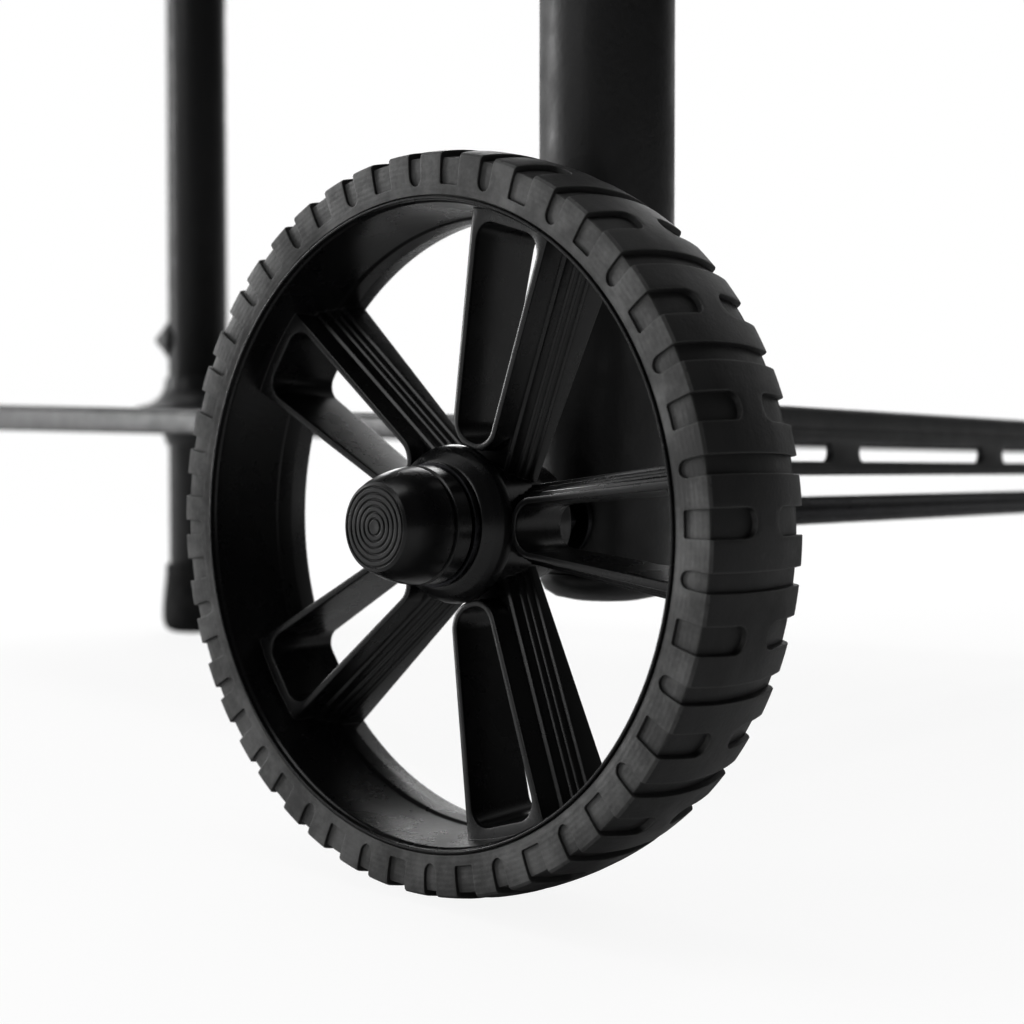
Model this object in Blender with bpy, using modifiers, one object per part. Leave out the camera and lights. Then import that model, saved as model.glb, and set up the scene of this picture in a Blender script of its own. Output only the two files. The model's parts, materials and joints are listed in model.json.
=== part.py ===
"""Ball machine on a wheeled tripod frame, modelled as separate sub-parts.

Frame: metres, +Z up, ground at Z = 0, X across the machine along the wheel axle,
+Y forward, the way the balls are thrown. X = 0 is the plane of symmetry of the frame.
"""
import math

import bmesh
import bpy
from mathutils import Matrix, Vector

# Driving dimensions of the undercarriage
HALF_DEPTH = 0.286            # the wheels reach this far back, the shelf as far forward
WHEEL_RADIUS = 0.0775
TYRE_WIDTH = 0.030
SHOULDER_RADIUS = 0.0755
TYRE_SEAT = 0.0671            # inner radius of the tyre, just clear of the rim
SPOKE_PAIRS = 5
SPOKE_ANGLE = -0.65           # degrees, first pair of spokes seen from outside the wheel
LEG_X = 0.217                 # wheel legs, either side of the centre
LEG_RADIUS = 0.016
LEG_WALL = 0.0015
FOOT_REACH = 0.459            # front leg ahead of the axle
LEG_TOP = 0.5797
WHEEL_FACE_X = 0.2836         # outer shoulder plane of the wheel
AXLE_RADIUS = 0.004
GAP = 0.0003                  # clearance between parts that touch
NUT_HOLE = 0.0050             # corner radius of the six-sided nut bore

AXLE_Y = WHEEL_RADIUS - HALF_DEPTH
AXLE_Z = WHEEL_RADIUS
FRONT_Y = AXLE_Y + FOOT_REACH
FRONT_LEG_BOTTOM = 0.010
WHEEL_LEG_BOTTOM = 0.065

# Shelf
SHELF_REAR_Z = 0.1015         # top face at the axle
SHELF_TILT = math.radians(2.4)
SHELF_SHEET = 0.003
SHELF_SKIRT = 0.0135
SHELF_FRONT_X = 0.157
SHELF_CORNER = 0.030
SLOT_COUNT = 13
SLOT_WIDTH = 0.014

# Platform and turntable
PLATFORM_Z = 0.580
PLATFORM_SHEET = 0.004
PLATFORM_EDGE = 0.024
PLATFORM_FLARE = 0.035
PLATFORM_FRONT = 0.075        # half width at the front edge
PLATFORM_CORNER = 0.022
PLATFORM_FLANGE = 0.022       # height of the turned-down edge
SOCKET_RADIUS = 0.0193
SOCKET_FOOT = 0.545
RACE_RADIUS = 0.110
TURNTABLE_RADIUS = 0.130
TURRET_Y = -0.030
ROLLER_RADIUS = 0.012

# Turret housing
HALF_WIDTH = 0.160
HALF_LENGTH = 0.180
PAN_Z = 0.6003
DECK_Z = 0.8818
WALL = 0.003
PIVOT_Y = TURRET_Y + 0.030
PIVOT_Z = 0.740
THROW_RADIUS = 0.050
THROW_SPACING = 0.078         # throw wheel axis above and below the pinch point
DROP_Y = PIVOT_Y - 0.095
DROP_RADIUS = 0.036           # hole that a 33 mm radius ball falls through
LAUNCHER_RADIUS = 0.115
MOTOR_RADIUS = 0.022
OUTLET_HALF_WIDTH = 0.048
OUTLET_HALF_HEIGHT = 0.0875
OUTLET_Z = 0.7825
DOOR_Z = 0.662                # middle of the battery door

# Hopper
HOPPER_FLOOR = 0.888
HOPPER_TOP = 1.150
HOPPER_LOW = 0.150
HOPPER_Y = -0.015
HOPPER_HIGH = 0.196
FEED_Y = DROP_Y + 0.090

# Handle
HANDLE_Y = AXLE_Y - 0.044
HANDLE_LEAN = 0.016
HANDLE_Z = 0.600
HANDLE_TOP = 0.985
HANDLE_RADIUS = 0.011
HANDLE_BEND = 0.035
GRIP_RADIUS = 0.0145
GRIP_REACH = 0.110
EAR_X = 0.015                 # bracket ears, either side of the handle tube

COLOURS = {
    "tube": ((0.012, 0.012, 0.013), 0.45, 0.0),
    "shelf": ((0.05, 0.05, 0.052), 0.5, 0.0),
    "rubber": ((0.02, 0.02, 0.021), 0.8, 0.0),
    "rim": ((0.008, 0.008, 0.009), 0.28, 0.0),
    "steel": ((0.5, 0.5, 0.52), 0.35, 1.0),
    "axle": ((0.03, 0.03, 0.032), 0.3, 1.0),
    "plastic": ((0.03, 0.03, 0.032), 0.5, 0.0),
    "grey": ((0.2, 0.2, 0.21), 0.5, 0.0),
    "green": ((0.35, 0.5, 0.03), 0.7, 0.0),
}

for old in list(bpy.data.objects):
    bpy.data.objects.remove(old)
PARTS = bpy.data.collections.new("ball_machine")
CUTTERS = bpy.data.collections.new("cutters")
bpy.context.scene.collection.children.link(PARTS)
bpy.context.scene.collection.children.link(CUTTERS)


def material(name):
    """Principled material from the colour table."""
    found = bpy.data.materials.get(name)
    if found:
        return found
    colour, roughness, metallic = COLOURS[name]
    made = bpy.data.materials.new(name)
    made.use_nodes = True
    shader = made.node_tree.nodes["Principled BSDF"]
    shader.inputs["Base Color"].default_value = (*colour, 1.0)
    shader.inputs["Roughness"].default_value = roughness
    shader.inputs["Metallic"].default_value = metallic
    return made


def add(name, mesh, finish, location=(0, 0, 0), rotation=(0, 0, 0), parent=None):
    """Put a mesh in the parts collection as a named object."""
    part = bpy.data.objects.new(name, mesh)
    PARTS.objects.link(part)
    part.location = location
    part.rotation_euler = rotation
    if finish:
        mesh.materials.append(material(finish))
    if parent:
        part.parent = parent
        part.matrix_parent_inverse = Matrix.Translation(parent.location).inverted()
    return part


def pivot(name, location):
    """Empty on a joint's axis, parent of the pieces that move with it."""
    empty = bpy.data.objects.new(name, None)
    PARTS.objects.link(empty)
    empty.location = location
    return empty


def to_mesh(part):
    """Replace a curve or a modified object by its evaluated, welded mesh."""
    bpy.context.view_layer.update()
    evaluated = part.evaluated_get(bpy.context.evaluated_depsgraph_get())
    mesh = bpy.data.meshes.new_from_object(evaluated)
    work = bmesh.new()
    work.from_mesh(mesh)
    bmesh.ops.remove_doubles(work, verts=work.verts, dist=1e-6)
    bmesh.ops.recalc_face_normals(work, faces=work.faces)
    work.to_mesh(mesh)
    work.free()
    name, place, parent = part.name, part.matrix_world.copy(), part.parent
    bpy.data.objects.remove(part)
    solid = bpy.data.objects.new(name, mesh)
    PARTS.objects.link(solid)
    solid.matrix_world = place
    if parent:
        solid.parent = parent
        solid.matrix_parent_inverse = Matrix.Translation(parent.location).inverted()
    return solid


def smooth(part, angle=35):
    part.data.shade_smooth()
    part.data.set_sharp_from_angle(angle=math.radians(angle))
    return part


def box(name, low, high, finish, bevel=0.0, parent=None):
    """Block between two corners, with its edges optionally rounded."""
    size = Vector(high) - Vector(low)
    mesh = bpy.data.meshes.new(name)
    work = bmesh.new()
    bmesh.ops.create_cube(work, size=1.0)
    bmesh.ops.scale(work, vec=size, verts=work.verts)
    work.to_mesh(mesh)
    work.free()
    part = add(name, mesh, finish, (Vector(low) + Vector(high)) / 2, parent=parent)
    if bevel:
        edge = part.modifiers.new("edge", "BEVEL")
        edge.width = bevel
        edge.segments = 2
    return part


def cylinder(name, radius, start, end, finish, segments=24, parent=None):
    """Solid cylinder between two points."""
    start, end = Vector(start), Vector(end)
    mesh = bpy.data.meshes.new(name)
    work = bmesh.new()
    bmesh.ops.create_cone(work, cap_ends=True, segments=segments, radius1=radius, radius2=radius,
                          depth=(end - start).length)
    work.to_mesh(mesh)
    work.free()
    turn = (end - start).to_track_quat("Z", "Y").to_euler()
    return smooth(add(name, mesh, finish, (start + end) / 2, turn, parent))


def turned(name, profile, finish, location, direction=(0, 0, 1), segments=20, parent=None):
    """Revolve a closed outline of (radius, height) points about an axis.

    The outline runs down its outer side. A point at radius 0 closes the solid on its axis.
    """
    mesh = bpy.data.meshes.new(name)
    points = [(r, 0.0, h) for r, h in profile]
    count = len(points)
    closed = profile[0][0] > 0 or profile[-1][0] > 0
    edges = [(i, i + 1) for i in range(count - 1)]
    if closed:
        edges.append((count - 1, 0))
    mesh.from_pydata(points, edges, [])
    turn = Vector(direction).to_track_quat("Z", "Y").to_euler()
    part = add(name, mesh, finish, location, turn, parent)
    screw = part.modifiers.new("turn", "SCREW")
    screw.steps = segments
    screw.render_steps = segments
    screw.use_merge_vertices = True
    screw.merge_threshold = 1e-5
    screw.use_smooth_shade = True
    return part


def rod(name, points, radius, finish, bevel_resolution=3, parent=None):
    """Round bar or bent tube along straight stretches between points."""
    curve = bpy.data.curves.new(name, "CURVE")
    curve.dimensions = "3D"
    curve.bevel_depth = radius
    curve.bevel_resolution = bevel_resolution
    curve.use_fill_caps = True
    spline = curve.splines.new("POLY")
    spline.points.add(len(points) - 1)
    for point, place in zip(spline.points, points):
        point.co = (*place, 1.0)
    part = add(name, curve, finish, parent=parent)
    return smooth(to_mesh(part))


def plate(name, outlines, thickness, finish, location=(0, 0, 0), rotation=(0, 0, 0), parent=None):
    """Flat sheet: the first outline is its edge, the others are its holes."""
    curve = bpy.data.curves.new(name, "CURVE")
    curve.dimensions = "2D"
    curve.fill_mode = "BOTH"
    curve.extrude = thickness / 2
    for outline in outlines:
        spline = curve.splines.new("POLY")
        spline.points.add(len(outline) - 1)
        for point, (x, y) in zip(spline.points, outline):
            point.co = (x, y, 0.0, 1.0)
        spline.use_cyclic_u = True
    part = add(name, curve, finish, location, rotation, parent)
    return to_mesh(part)


def arc(centre, radius, start, end, steps):
    """Points on an arc, angles in degrees."""
    angles = [math.radians(start + (end - start) * i / steps) for i in range(steps + 1)]
    return [(centre[0] + radius * math.cos(a), centre[1] + radius * math.sin(a)) for a in angles]


def circle(centre, radius, steps=24):
    return arc(centre, radius, 0, 360, steps)[:-1]


def slot(centre, length, width, steps=2):
    """Long hole along X with round ends."""
    reach = (length - width) / 2
    right = arc((centre[0] + reach, centre[1]), width / 2, -90, 90, steps)
    left = arc((centre[0] - reach, centre[1]), width / 2, 90, 270, steps)
    return right + left


def rounded(corners, radius, steps=4):
    """Convex outline, counter-clockwise, with every corner rounded."""
    outline = []
    for i, here in enumerate(corners):
        here = Vector(here)
        before = (Vector(corners[i - 1]) - here).normalized()
        after = (Vector(corners[(i + 1) % len(corners)]) - here).normalized()
        half = math.acos(max(-1.0, min(1.0, before.dot(after)))) / 2
        centre = here + (before + after).normalized() * (radius / math.sin(half))
        first = here + before * (radius / math.tan(half)) - centre
        last = here + after * (radius / math.tan(half)) - centre
        begin = math.degrees(math.atan2(first.y, first.x))
        sweep = (math.degrees(math.atan2(last.y, last.x)) - begin) % 360
        outline += arc(centre, radius, begin, begin + sweep, steps)
    return outline


def rectangle(half_x, half_y, radius=0.0, centre=(0.0, 0.0), steps=4):
    x, y = centre
    corners = [(x - half_x, y - half_y), (x + half_x, y - half_y),
               (x + half_x, y + half_y), (x - half_x, y + half_y)]
    return rounded(corners, radius, steps) if radius else corners


def hide(cutter):
    """Mark an object as a cutter, which isn't part of the machine."""
    for group in list(cutter.users_collection):
        group.objects.unlink(cutter)
    CUTTERS.objects.link(cutter)
    cutter.hide_render = True
    cutter.display_type = "WIRE"
    return cutter


def combine(part, tool, operation, solver="EXACT"):
    """Boolean with a tool object, which is kept as a wire cutter."""
    step = part.modifiers.new(tool.name, "BOOLEAN")
    step.operation = operation
    step.solver = solver
    step.object = hide(tool)
    return part


def cut(part, tool, solver="EXACT"):
    return combine(part, tool, "DIFFERENCE", solver)


def join(part, tool, solver="EXACT"):
    return combine(part, tool, "UNION", solver)


def ring(name, outer, inner, low, high, finish, location, direction=(0, 0, 1), segments=24,
         parent=None):
    """Washer or sleeve with a square section."""
    profile = [(outer, high), (outer, low), (inner, low), (inner, high)]
    return turned(name, profile, finish, location, direction, segments, parent)


# ---------------------------------------------------------------- undercarriage
def leg(name, x, y, bottom):
    """Round tube, open at both ends; the wheel legs are cross-drilled for the axle."""
    tube = ring(name, LEG_RADIUS, LEG_RADIUS - LEG_WALL, bottom, LEG_TOP, "tube", (x, y, 0))
    if abs(x) > 0:
        drill = cylinder(name + "_axle_hole", AXLE_RADIUS + GAP, (x - 0.03, y, AXLE_Z),
                         (x + 0.03, y, AXLE_Z), None, 16)
        cut(tube, drill)
    return tube


def leg_plug(name, x):
    """Domed plug pushed into the lower end of a wheel leg."""
    bottom = WHEEL_LEG_BOTTOM
    inner = LEG_RADIUS - LEG_WALL - GAP
    dome = [(LEG_RADIUS, bottom - GAP), (LEG_RADIUS - 0.001, bottom - 0.0035),
            (LEG_RADIUS - 0.005, bottom - 0.0062), (0.0, bottom - 0.0072)]
    profile = [(0.0, bottom + 0.008), (inner, bottom + 0.008), (inner, bottom - GAP)] + dome
    return turned(name, profile, "plastic", (x, AXLE_Y, 0), segments=24)


def front_foot():
    """Rubber cap over the lower end of the front leg, wider at the ground."""
    inner = LEG_RADIUS + GAP
    profile = [(inner + 0.0016, 0.043), (inner + 0.0022, 0.040), (0.0190, 0.012),
               (0.0182, 0.005), (0.0150, 0.0), (0.0, 0.0)]
    profile = [(0.0, FRONT_LEG_BOTTOM - GAP), (inner, FRONT_LEG_BOTTOM - GAP),
               (inner, 0.043)] + profile
    turned("foot_front", profile, "rubber", (0, FRONT_Y, 0))


def shelf():
    """Slotted tray between the three legs, rising towards the front leg."""
    notch = LEG_RADIUS + GAP
    front = (HALF_DEPTH - 0.0006 - AXLE_Y) / math.cos(SHELF_TILT)
    outline = arc((-LEG_X, 0), notch + 0.0004, 90, 0, 4)
    outline += arc((LEG_X, 0), notch + 0.0004, 180, 90, 4)
    front_corners = rounded([(0, 0), (LEG_X, notch), (SHELF_FRONT_X, front),
                             (-SHELF_FRONT_X, front), (-LEG_X, notch)], SHELF_CORNER, 4)
    outline += [p for p in front_corners if p[1] > front - 0.08]
    leg_hole = circle((0, FOOT_REACH / math.cos(SHELF_TILT)), notch + 0.001, 32)
    slots = []
    pitch = (FOOT_REACH - 0.075) / SLOT_COUNT
    for i in range(SLOT_COUNT):
        y = 0.030 + pitch * i
        half = LEG_X + (SHELF_FRONT_X - LEG_X) * y / front - 0.034
        for side in (-1, 1):
            slots.append(slot((side * half / 2, y), half - 0.014, SLOT_WIDTH))
    turn = (SHELF_TILT, 0, 0)
    base = Vector((0, AXLE_Y, SHELF_REAR_Z))
    normal = Vector((0, -math.sin(SHELF_TILT), math.cos(SHELF_TILT)))
    deck = plate("shelf_tray", [outline, leg_hole] + slots, SHELF_SHEET, "shelf",
                 base - normal * SHELF_SHEET / 2, turn)
    outer = [inward(outline, i, 0.0002) for i in range(len(outline))]
    inner = [inward(outline, i, 0.0027) for i in range(len(outline))]
    skirt = plate("shelf_skirt", [outer, inner], SHELF_SKIRT, "shelf",
                  base - normal * (SHELF_SKIRT / 2 + 0.0005), turn)
    join(deck, skirt, "MANIFOLD")
    for i, x in enumerate((-0.153, -0.051, 0.051, 0.153)):
        window = plate(f"shelf_window_{i}", [slot((x, 0.0), 0.086, 0.0054)], 0.020, None,
                       (0, AXLE_Y, SHELF_REAR_Z - 0.0084), (math.radians(90), 0, 0))
        cut(deck, window, "MANIFOLD")
    return deck


def inward(outline, i, depth):
    """Point i of a counter-clockwise or clockwise outline, moved to its inner side."""
    before, here, after = (Vector(outline[(i + k) % len(outline)]) for k in (-1, 0, 1))
    a = (here - before).normalized()
    b = (after - here).normalized()
    along = (a + b).normalized()
    area = sum(p[0] * q[1] - q[0] * p[1] for p, q in zip(outline, outline[1:] + outline[:1]))
    side = Vector((-along.y, along.x)) * (1 if area > 0 else -1)
    return tuple(here + side * depth / max(0.4, along.dot(a)))


def collars():
    """Flared rings on the front leg that hold the tray from above and below."""
    inner = LEG_RADIUS + GAP
    upper = [(0.0175, 0.1400), (0.0185, 0.1340), (0.0225, 0.1280), (0.0340, 0.1225),
             (inner, 0.1225), (inner, 0.1400)]
    turned("shelf_collar_top", upper, "shelf", (0, FRONT_Y, 0), segments=24)
    lower = [(0.0280, 0.1160), (0.0205, 0.1110), (0.0175, 0.1030), (inner, 0.1030),
             (inner, 0.1160)]
    turned("shelf_collar_bottom", lower, "shelf", (0, FRONT_Y, 0), segments=24)


def bolt_cap():
    """Domed cap over the bolt through the front leg, above the tray, turned half forward."""
    profile = [(0.0, 0.0090), (0.0030, 0.0084), (0.0065, 0.0050), (0.0090, 0.0), (0.0, 0.0)]
    reach = (LEG_RADIUS + GAP) * math.sqrt(0.5)
    turned("bolt_cap_front", profile, "plastic", (-reach, FRONT_Y + reach, 0.161), (-1, 1, 0), 24)


# ---------------------------------------------------------------- wheels
def at_wheel(side, depth):
    """Point on the axle line, a depth inboard of the wheel's outer shoulder."""
    return Vector((side * (WHEEL_FACE_X - depth), AXLE_Y, AXLE_Z))


def facing(direction):
    return Vector(direction).to_track_quat("Z", "Y").to_euler()


def pair_window(angle):
    """Rounded trapezoid between the two spokes of a pair."""
    corners = [(0.0215, -0.0045), (0.0590, -0.0095), (0.0590, 0.0095), (0.0215, 0.0045)]
    return spun(rounded(corners, 0.003, 1), angle)


def gap_window(angle):
    """Opening between two neighbouring pairs of spokes."""
    half = math.pi / SPOKE_PAIRS
    apex = (0.0215, 0.0)
    outer = 0.0610
    corner = half - math.atan2(0.0168, 0.0585)
    right = (outer * math.cos(corner), -outer * math.sin(corner))
    left = (right[0], -right[1])
    corners = [apex, right, (outer, 0.0), left]
    return spun(rounded(corners, 0.003, 1), angle)


def spun(outline, angle):
    turn = Matrix.Rotation(math.radians(angle), 2)
    return [tuple(turn @ Vector(point)) for point in outline]


def wheel(label, side):
    """Rim with five pairs of spokes, and its tyre, both centred on the axle."""
    outward = (side, 0, 0)
    face = at_wheel(side, 0)
    spin = pivot(f"wheel_{label}_axis", at_wheel(side, TYRE_WIDTH / 2))
    barrel = [(0.0668, -0.0005), (0.0668, -0.0295), (0.0655, -0.0295), (0.0640, -0.0270),
              (0.0620, -0.0200), (0.0620, -0.0130), (0.0645, -0.0010), (0.0655, -0.0005)]
    rim = turned(f"rim_{label}", barrel, "rim", face, outward, 36, spin)
    disc = circle((0, 0), 0.0632, 36)
    pitch = 360 / SPOKE_PAIRS
    windows = [pair_window(SPOKE_ANGLE + pitch * i) for i in range(SPOKE_PAIRS)]
    windows += [gap_window(SPOKE_ANGLE + pitch * (i + 0.5)) for i in range(SPOKE_PAIRS)]
    bore = circle((0, 0), 0.0110, 16)
    web = plate(f"web_{label}", [disc, bore] + windows, 0.014, "rim", at_wheel(side, 0.0205),
                facing(outward), spin)
    join(rim, web, "MANIFOLD")
    inner = AXLE_RADIUS + GAP
    hub = [(0.0125, -0.0093), (0.0125, -0.0125), (0.0168, -0.0130), (0.0168, -0.0290),
           (0.0135, -0.0300), (0.0135, -0.0380), (inner, -0.0380), (inner, -0.0093)]
    join(rim, turned(f"hub_{label}", hub, "rim", face, outward, 20, spin), "MANIFOLD")
    near, far = WHEEL_RADIUS - 0.0006, SHOULDER_RADIUS - 0.001
    tread = [(far, 0.0), (SHOULDER_RADIUS, -0.0010), (near, -0.0070),
             (WHEEL_RADIUS, -TYRE_WIDTH / 2), (near, -TYRE_WIDTH + 0.0070),
             (SHOULDER_RADIUS, -TYRE_WIDTH + 0.0010), (far, -TYRE_WIDTH),
             (TYRE_SEAT, -TYRE_WIDTH), (TYRE_SEAT, 0.0)]
    turned(f"tyre_{label}", tread, "rubber", face, outward, 36, spin)


def wheel_fittings(label, side):
    """What holds a wheel on the axle: cap, washers and lock nut."""
    outward = (side, 0, 0)
    face = at_wheel(side, 0)
    inner = AXLE_RADIUS + GAP
    cap = [(0.0, 0.0085), (0.0084, 0.0085), (0.0105, 0.0060), (0.0122, -0.0018),
           (0.0118, -0.0072), (inner, -0.0072), (inner, 0.0052), (0.0, 0.0052)]
    turned(f"hub_cap_{label}", cap, "rim", face, outward, 20)
    ring(f"washer_outer_{label}", 0.0131, inner, -0.0090, -0.0075, "steel", face, outward, 20)
    ring(f"lock_nut_{label}", 0.0078, NUT_HOLE, -0.0470, -0.0400, "steel", face, outward, 6)
    ring(f"washer_inner_{label}", 0.0090, inner, -0.0502, -0.0488, "steel", face, outward, 20)


def axle():
    reach = WHEEL_FACE_X + 0.0049
    cylinder("axle", AXLE_RADIUS, (-reach, AXLE_Y, AXLE_Z), (reach, AXLE_Y, AXLE_Z), "axle", 24)


# ---------------------------------------------------------------- platform and turntable
ROLLER_REACH = TURNTABLE_RADIUS + ROLLER_RADIUS + GAP
ROLLER_ANGLE = math.radians(-60)
ROLLER_X = ROLLER_REACH * math.cos(ROLLER_ANGLE)
ROLLER_Y = TURRET_Y + ROLLER_REACH * math.sin(ROLLER_ANGLE)
PLATFORM_TOP = PLATFORM_Z + PLATFORM_SHEET
RACE_TOP = 0.5915


def platform():
    """Pressed plate with a turned-down edge and a socket for each leg."""
    rear = AXLE_Y - PLATFORM_EDGE
    side = LEG_X + PLATFORM_FLARE
    front = FRONT_Y + PLATFORM_EDGE
    corners = [(-side, rear), (side, rear), (PLATFORM_FRONT, front), (-PLATFORM_FRONT, front)]
    outline = rounded(corners, PLATFORM_CORNER, 3)
    holes = [circle((0, TURRET_Y), 0.0063, 16), circle((ROLLER_X, ROLLER_Y), 0.0043, 12)]
    top = plate("top_platform", [outline] + holes, PLATFORM_SHEET, "tube",
                (0, 0, PLATFORM_Z + PLATFORM_SHEET / 2))
    outer = [inward(outline, i, 0.0002) for i in range(len(outline))]
    inner = [inward(outline, i, 0.0022) for i in range(len(outline))]
    edge = plate("platform_edge", [outer, inner], PLATFORM_FLANGE, "tube",
                 (0, 0, PLATFORM_Z + 0.002 - PLATFORM_FLANGE / 2))
    join(top, edge, "MANIFOLD")
    for i, (x, y) in enumerate(((-LEG_X, AXLE_Y), (LEG_X, AXLE_Y), (0, FRONT_Y))):
        socket = ring(f"leg_socket_{i}", SOCKET_RADIUS, LEG_RADIUS + GAP, SOCKET_FOOT,
                      PLATFORM_Z + 0.001, "tube", (x, y, 0))
        join(top, socket, "MANIFOLD")


def turntable():
    """Bearing race, turning plate, its centre bolt, and the roller that drives its edge."""
    centre = (0, TURRET_Y, 0)
    ring("turntable_race", RACE_RADIUS, 0.095, PLATFORM_TOP + GAP, RACE_TOP, "steel", centre,
         segments=48)
    ring("turntable_plate", TURNTABLE_RADIUS, 0.0065, RACE_TOP + GAP, PAN_Z - GAP, "plastic",
         centre, segments=36)
    bolt = [(0.0, 0.6060), (0.0100, 0.6050), (0.0100, 0.6008), (0.0060, 0.6008),
            (0.0060, 0.5700), (0.0100, 0.5700), (0.0100, 0.5640), (0.0, 0.5640)]
    bolt = [(r, h + 0.0005) for r, h in bolt]
    turned("turntable_bolt", bolt, "steel", centre, segments=24)
    drive = pivot("drive_roller_axis", (ROLLER_X, ROLLER_Y, 0.595))
    roller = [(0.0, 0.5990), (ROLLER_RADIUS, 0.5990), (ROLLER_RADIUS, 0.5910),
              (0.0040, 0.5910), (0.0040, 0.5620), (0.0, 0.5620)]
    turned("drive_roller", roller, "rubber", (ROLLER_X, ROLLER_Y, 0), segments=32, parent=drive)
    motor = [(0.0, 0.5600), (0.0043, 0.5600), (0.0043, 0.5795), (0.0180, 0.5795),
             (0.0180, 0.5220), (0.0, 0.5220)]
    turned("sweep_motor", motor, "grey", (ROLLER_X, ROLLER_Y, 0), segments=24)


# ---------------------------------------------------------------- turret housing
TURRET = pivot("turret_axis", (0, TURRET_Y, PAN_Z))
LAUNCHER = pivot("launcher_axis", (0, PIVOT_Y, PIVOT_Z))
LAUNCHER.parent = TURRET
LAUNCHER.matrix_parent_inverse = Matrix.Translation(TURRET.location).inverted()
FLOOR = PAN_Z + WALL
REAR_FACE = TURRET_Y - HALF_LENGTH
KNOBS = {"knob_speed": -0.090, "knob_spin": -0.035, "knob_feed": 0.020}
KNOB_Z = 0.825
SWITCH_X = 0.085
SOCKET_Z = 0.790


def moved(part, parent):
    """Parent a finished piece without moving it."""
    bpy.context.view_layer.update()
    part.parent = parent
    part.matrix_parent_inverse = parent.matrix_world.inverted()
    return part


def housing():
    """Floor pan, four walls and top deck, all separate panels."""
    centre = (0.0, TURRET_Y)
    pan = rectangle(HALF_WIDTH, HALF_LENGTH, 0.012, centre)
    moved(plate("base_pan", [pan, circle(centre, 0.0110, 16)], WALL, "plastic",
                (0, 0, PAN_Z + WALL / 2)), TURRET)
    drop = circle((0, DROP_Y), DROP_RADIUS, 20)
    deck = plate("top_deck", [pan, drop], WALL, "plastic", (0, 0, DECK_Z + WALL / 2))
    lip = ring("drop_collar", DROP_RADIUS + 0.0025, DROP_RADIUS - 0.0003, DECK_Z - 0.019, DECK_Z + 0.001, "plastic",
               (0, DROP_Y, 0))
    join(deck, lip, "MANIFOLD")
    moved(deck, TURRET)
    low, high = FLOOR + GAP, DECK_Z - GAP
    middle, tall = (low + high) / 2, (high - low) / 2
    for label, side in (("left", -1), ("right", 1)):
        wall = rectangle(HALF_LENGTH - WALL - GAP, tall)
        hole = circle(((PIVOT_Y - TURRET_Y) * side, PIVOT_Z - middle), 0.0083, 16)
        moved(plate(f"side_panel_{label}", [wall, hole], WALL, "plastic",
                    (side * (HALF_WIDTH - WALL / 2), TURRET_Y, middle), facing((side, 0, 0))),
              TURRET)
    outlet = rectangle(OUTLET_HALF_WIDTH, OUTLET_HALF_HEIGHT, 0.012, (0, OUTLET_Z - middle))
    moved(plate("front_cover", [rectangle(HALF_WIDTH, tall), outlet], WALL, "plastic",
                (0, TURRET_Y + HALF_LENGTH - WALL / 2, middle), (math.radians(90), 0, 0)), TURRET)
    hatch = rectangle(0.083, 0.050, 0.0, (0, DOOR_Z - middle))
    holes = [circle((x, KNOB_Z - middle), 0.0050, 12) for x in KNOBS.values()]
    holes.append(rectangle(0.0140, 0.0120, 0.0, (SWITCH_X, KNOB_Z - middle)))
    holes.append(circle((SWITCH_X, SOCKET_Z - middle), 0.0095, 16))
    moved(plate("rear_cover", [rectangle(HALF_WIDTH, tall), hatch] + holes, WALL, "plastic",
                (0, REAR_FACE + WALL / 2, middle), (math.radians(90), 0, 0)), TURRET)


def controls():
    """Panel with three knobs, a rocker switch and the charging socket."""
    back = REAR_FACE - GAP
    middle = 0.815
    holes = [circle((x, KNOB_Z - middle), 0.0034, 12) for x in KNOBS.values()]
    holes.append(rectangle(0.0125, 0.0108, 0.0, (SWITCH_X, KNOB_Z - middle)))
    holes.append(circle((SWITCH_X, SOCKET_Z - middle), 0.0065, 16))
    moved(plate("control_panel", [rectangle(0.125, 0.050, 0.010)] + holes, 0.003, "grey",
                (0, back - 0.0015, middle), (math.radians(90), 0, 0)), TURRET)
    for name, x in KNOBS.items():
        axis = pivot(f"{name}_axis", (x, back - 0.010, KNOB_Z))
        knob = [(0.0, 0.0175), (0.0105, 0.0175), (0.0125, 0.0160), (0.0145, 0.0034),
                (0.0031, 0.0034), (0.0031, -0.0050), (0.0, -0.0050)]
        turned(name, knob, "plastic", (x, back, KNOB_Z), (0, -1, 0), 16, axis)
        moved(axis, TURRET)
    axis = pivot("power_switch_axis", (SWITCH_X, back - 0.0015, KNOB_Z))
    box("power_switch", (SWITCH_X - 0.0115, back - 0.0085, KNOB_Z - 0.0085),
        (SWITCH_X + 0.0115, back + 0.0045, KNOB_Z + 0.0085), "plastic", 0.001, axis)
    axis.rotation_euler = (math.radians(-9), 0, 0)
    moved(axis, TURRET)
    socket = [(0.0, -0.0045), (0.0040, -0.0045), (0.0040, 0.0035), (0.0062, 0.0035),
              (0.0062, -0.0065), (0.0, -0.0065)]
    turned("charge_socket", socket, "steel", (SWITCH_X, back, SOCKET_Z), (0, -1, 0), 16, TURRET)
    box("controller_box", (-0.125, -0.2030, 0.755), (0.115, -0.1650, 0.862), "grey", 0.002, TURRET)


def power():
    """Battery behind its hinged door."""
    box("battery", (-0.0750, -0.2045, FLOOR + GAP), (0.0750, -0.1400, 0.7000), "grey", 0.003,
        TURRET)
    hinge = pivot("battery_door_axis", (-0.0815, REAR_FACE - 0.0015, DOOR_Z))
    box("battery_door", (-0.0800, REAR_FACE, DOOR_Z - 0.047),
        (0.0815, REAR_FACE + WALL, DOOR_Z + 0.047),
        "plastic", 0.0006, hinge)
    moved(hinge, TURRET)


# ---------------------------------------------------------------- launcher
PLATE_X = 0.037


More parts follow.
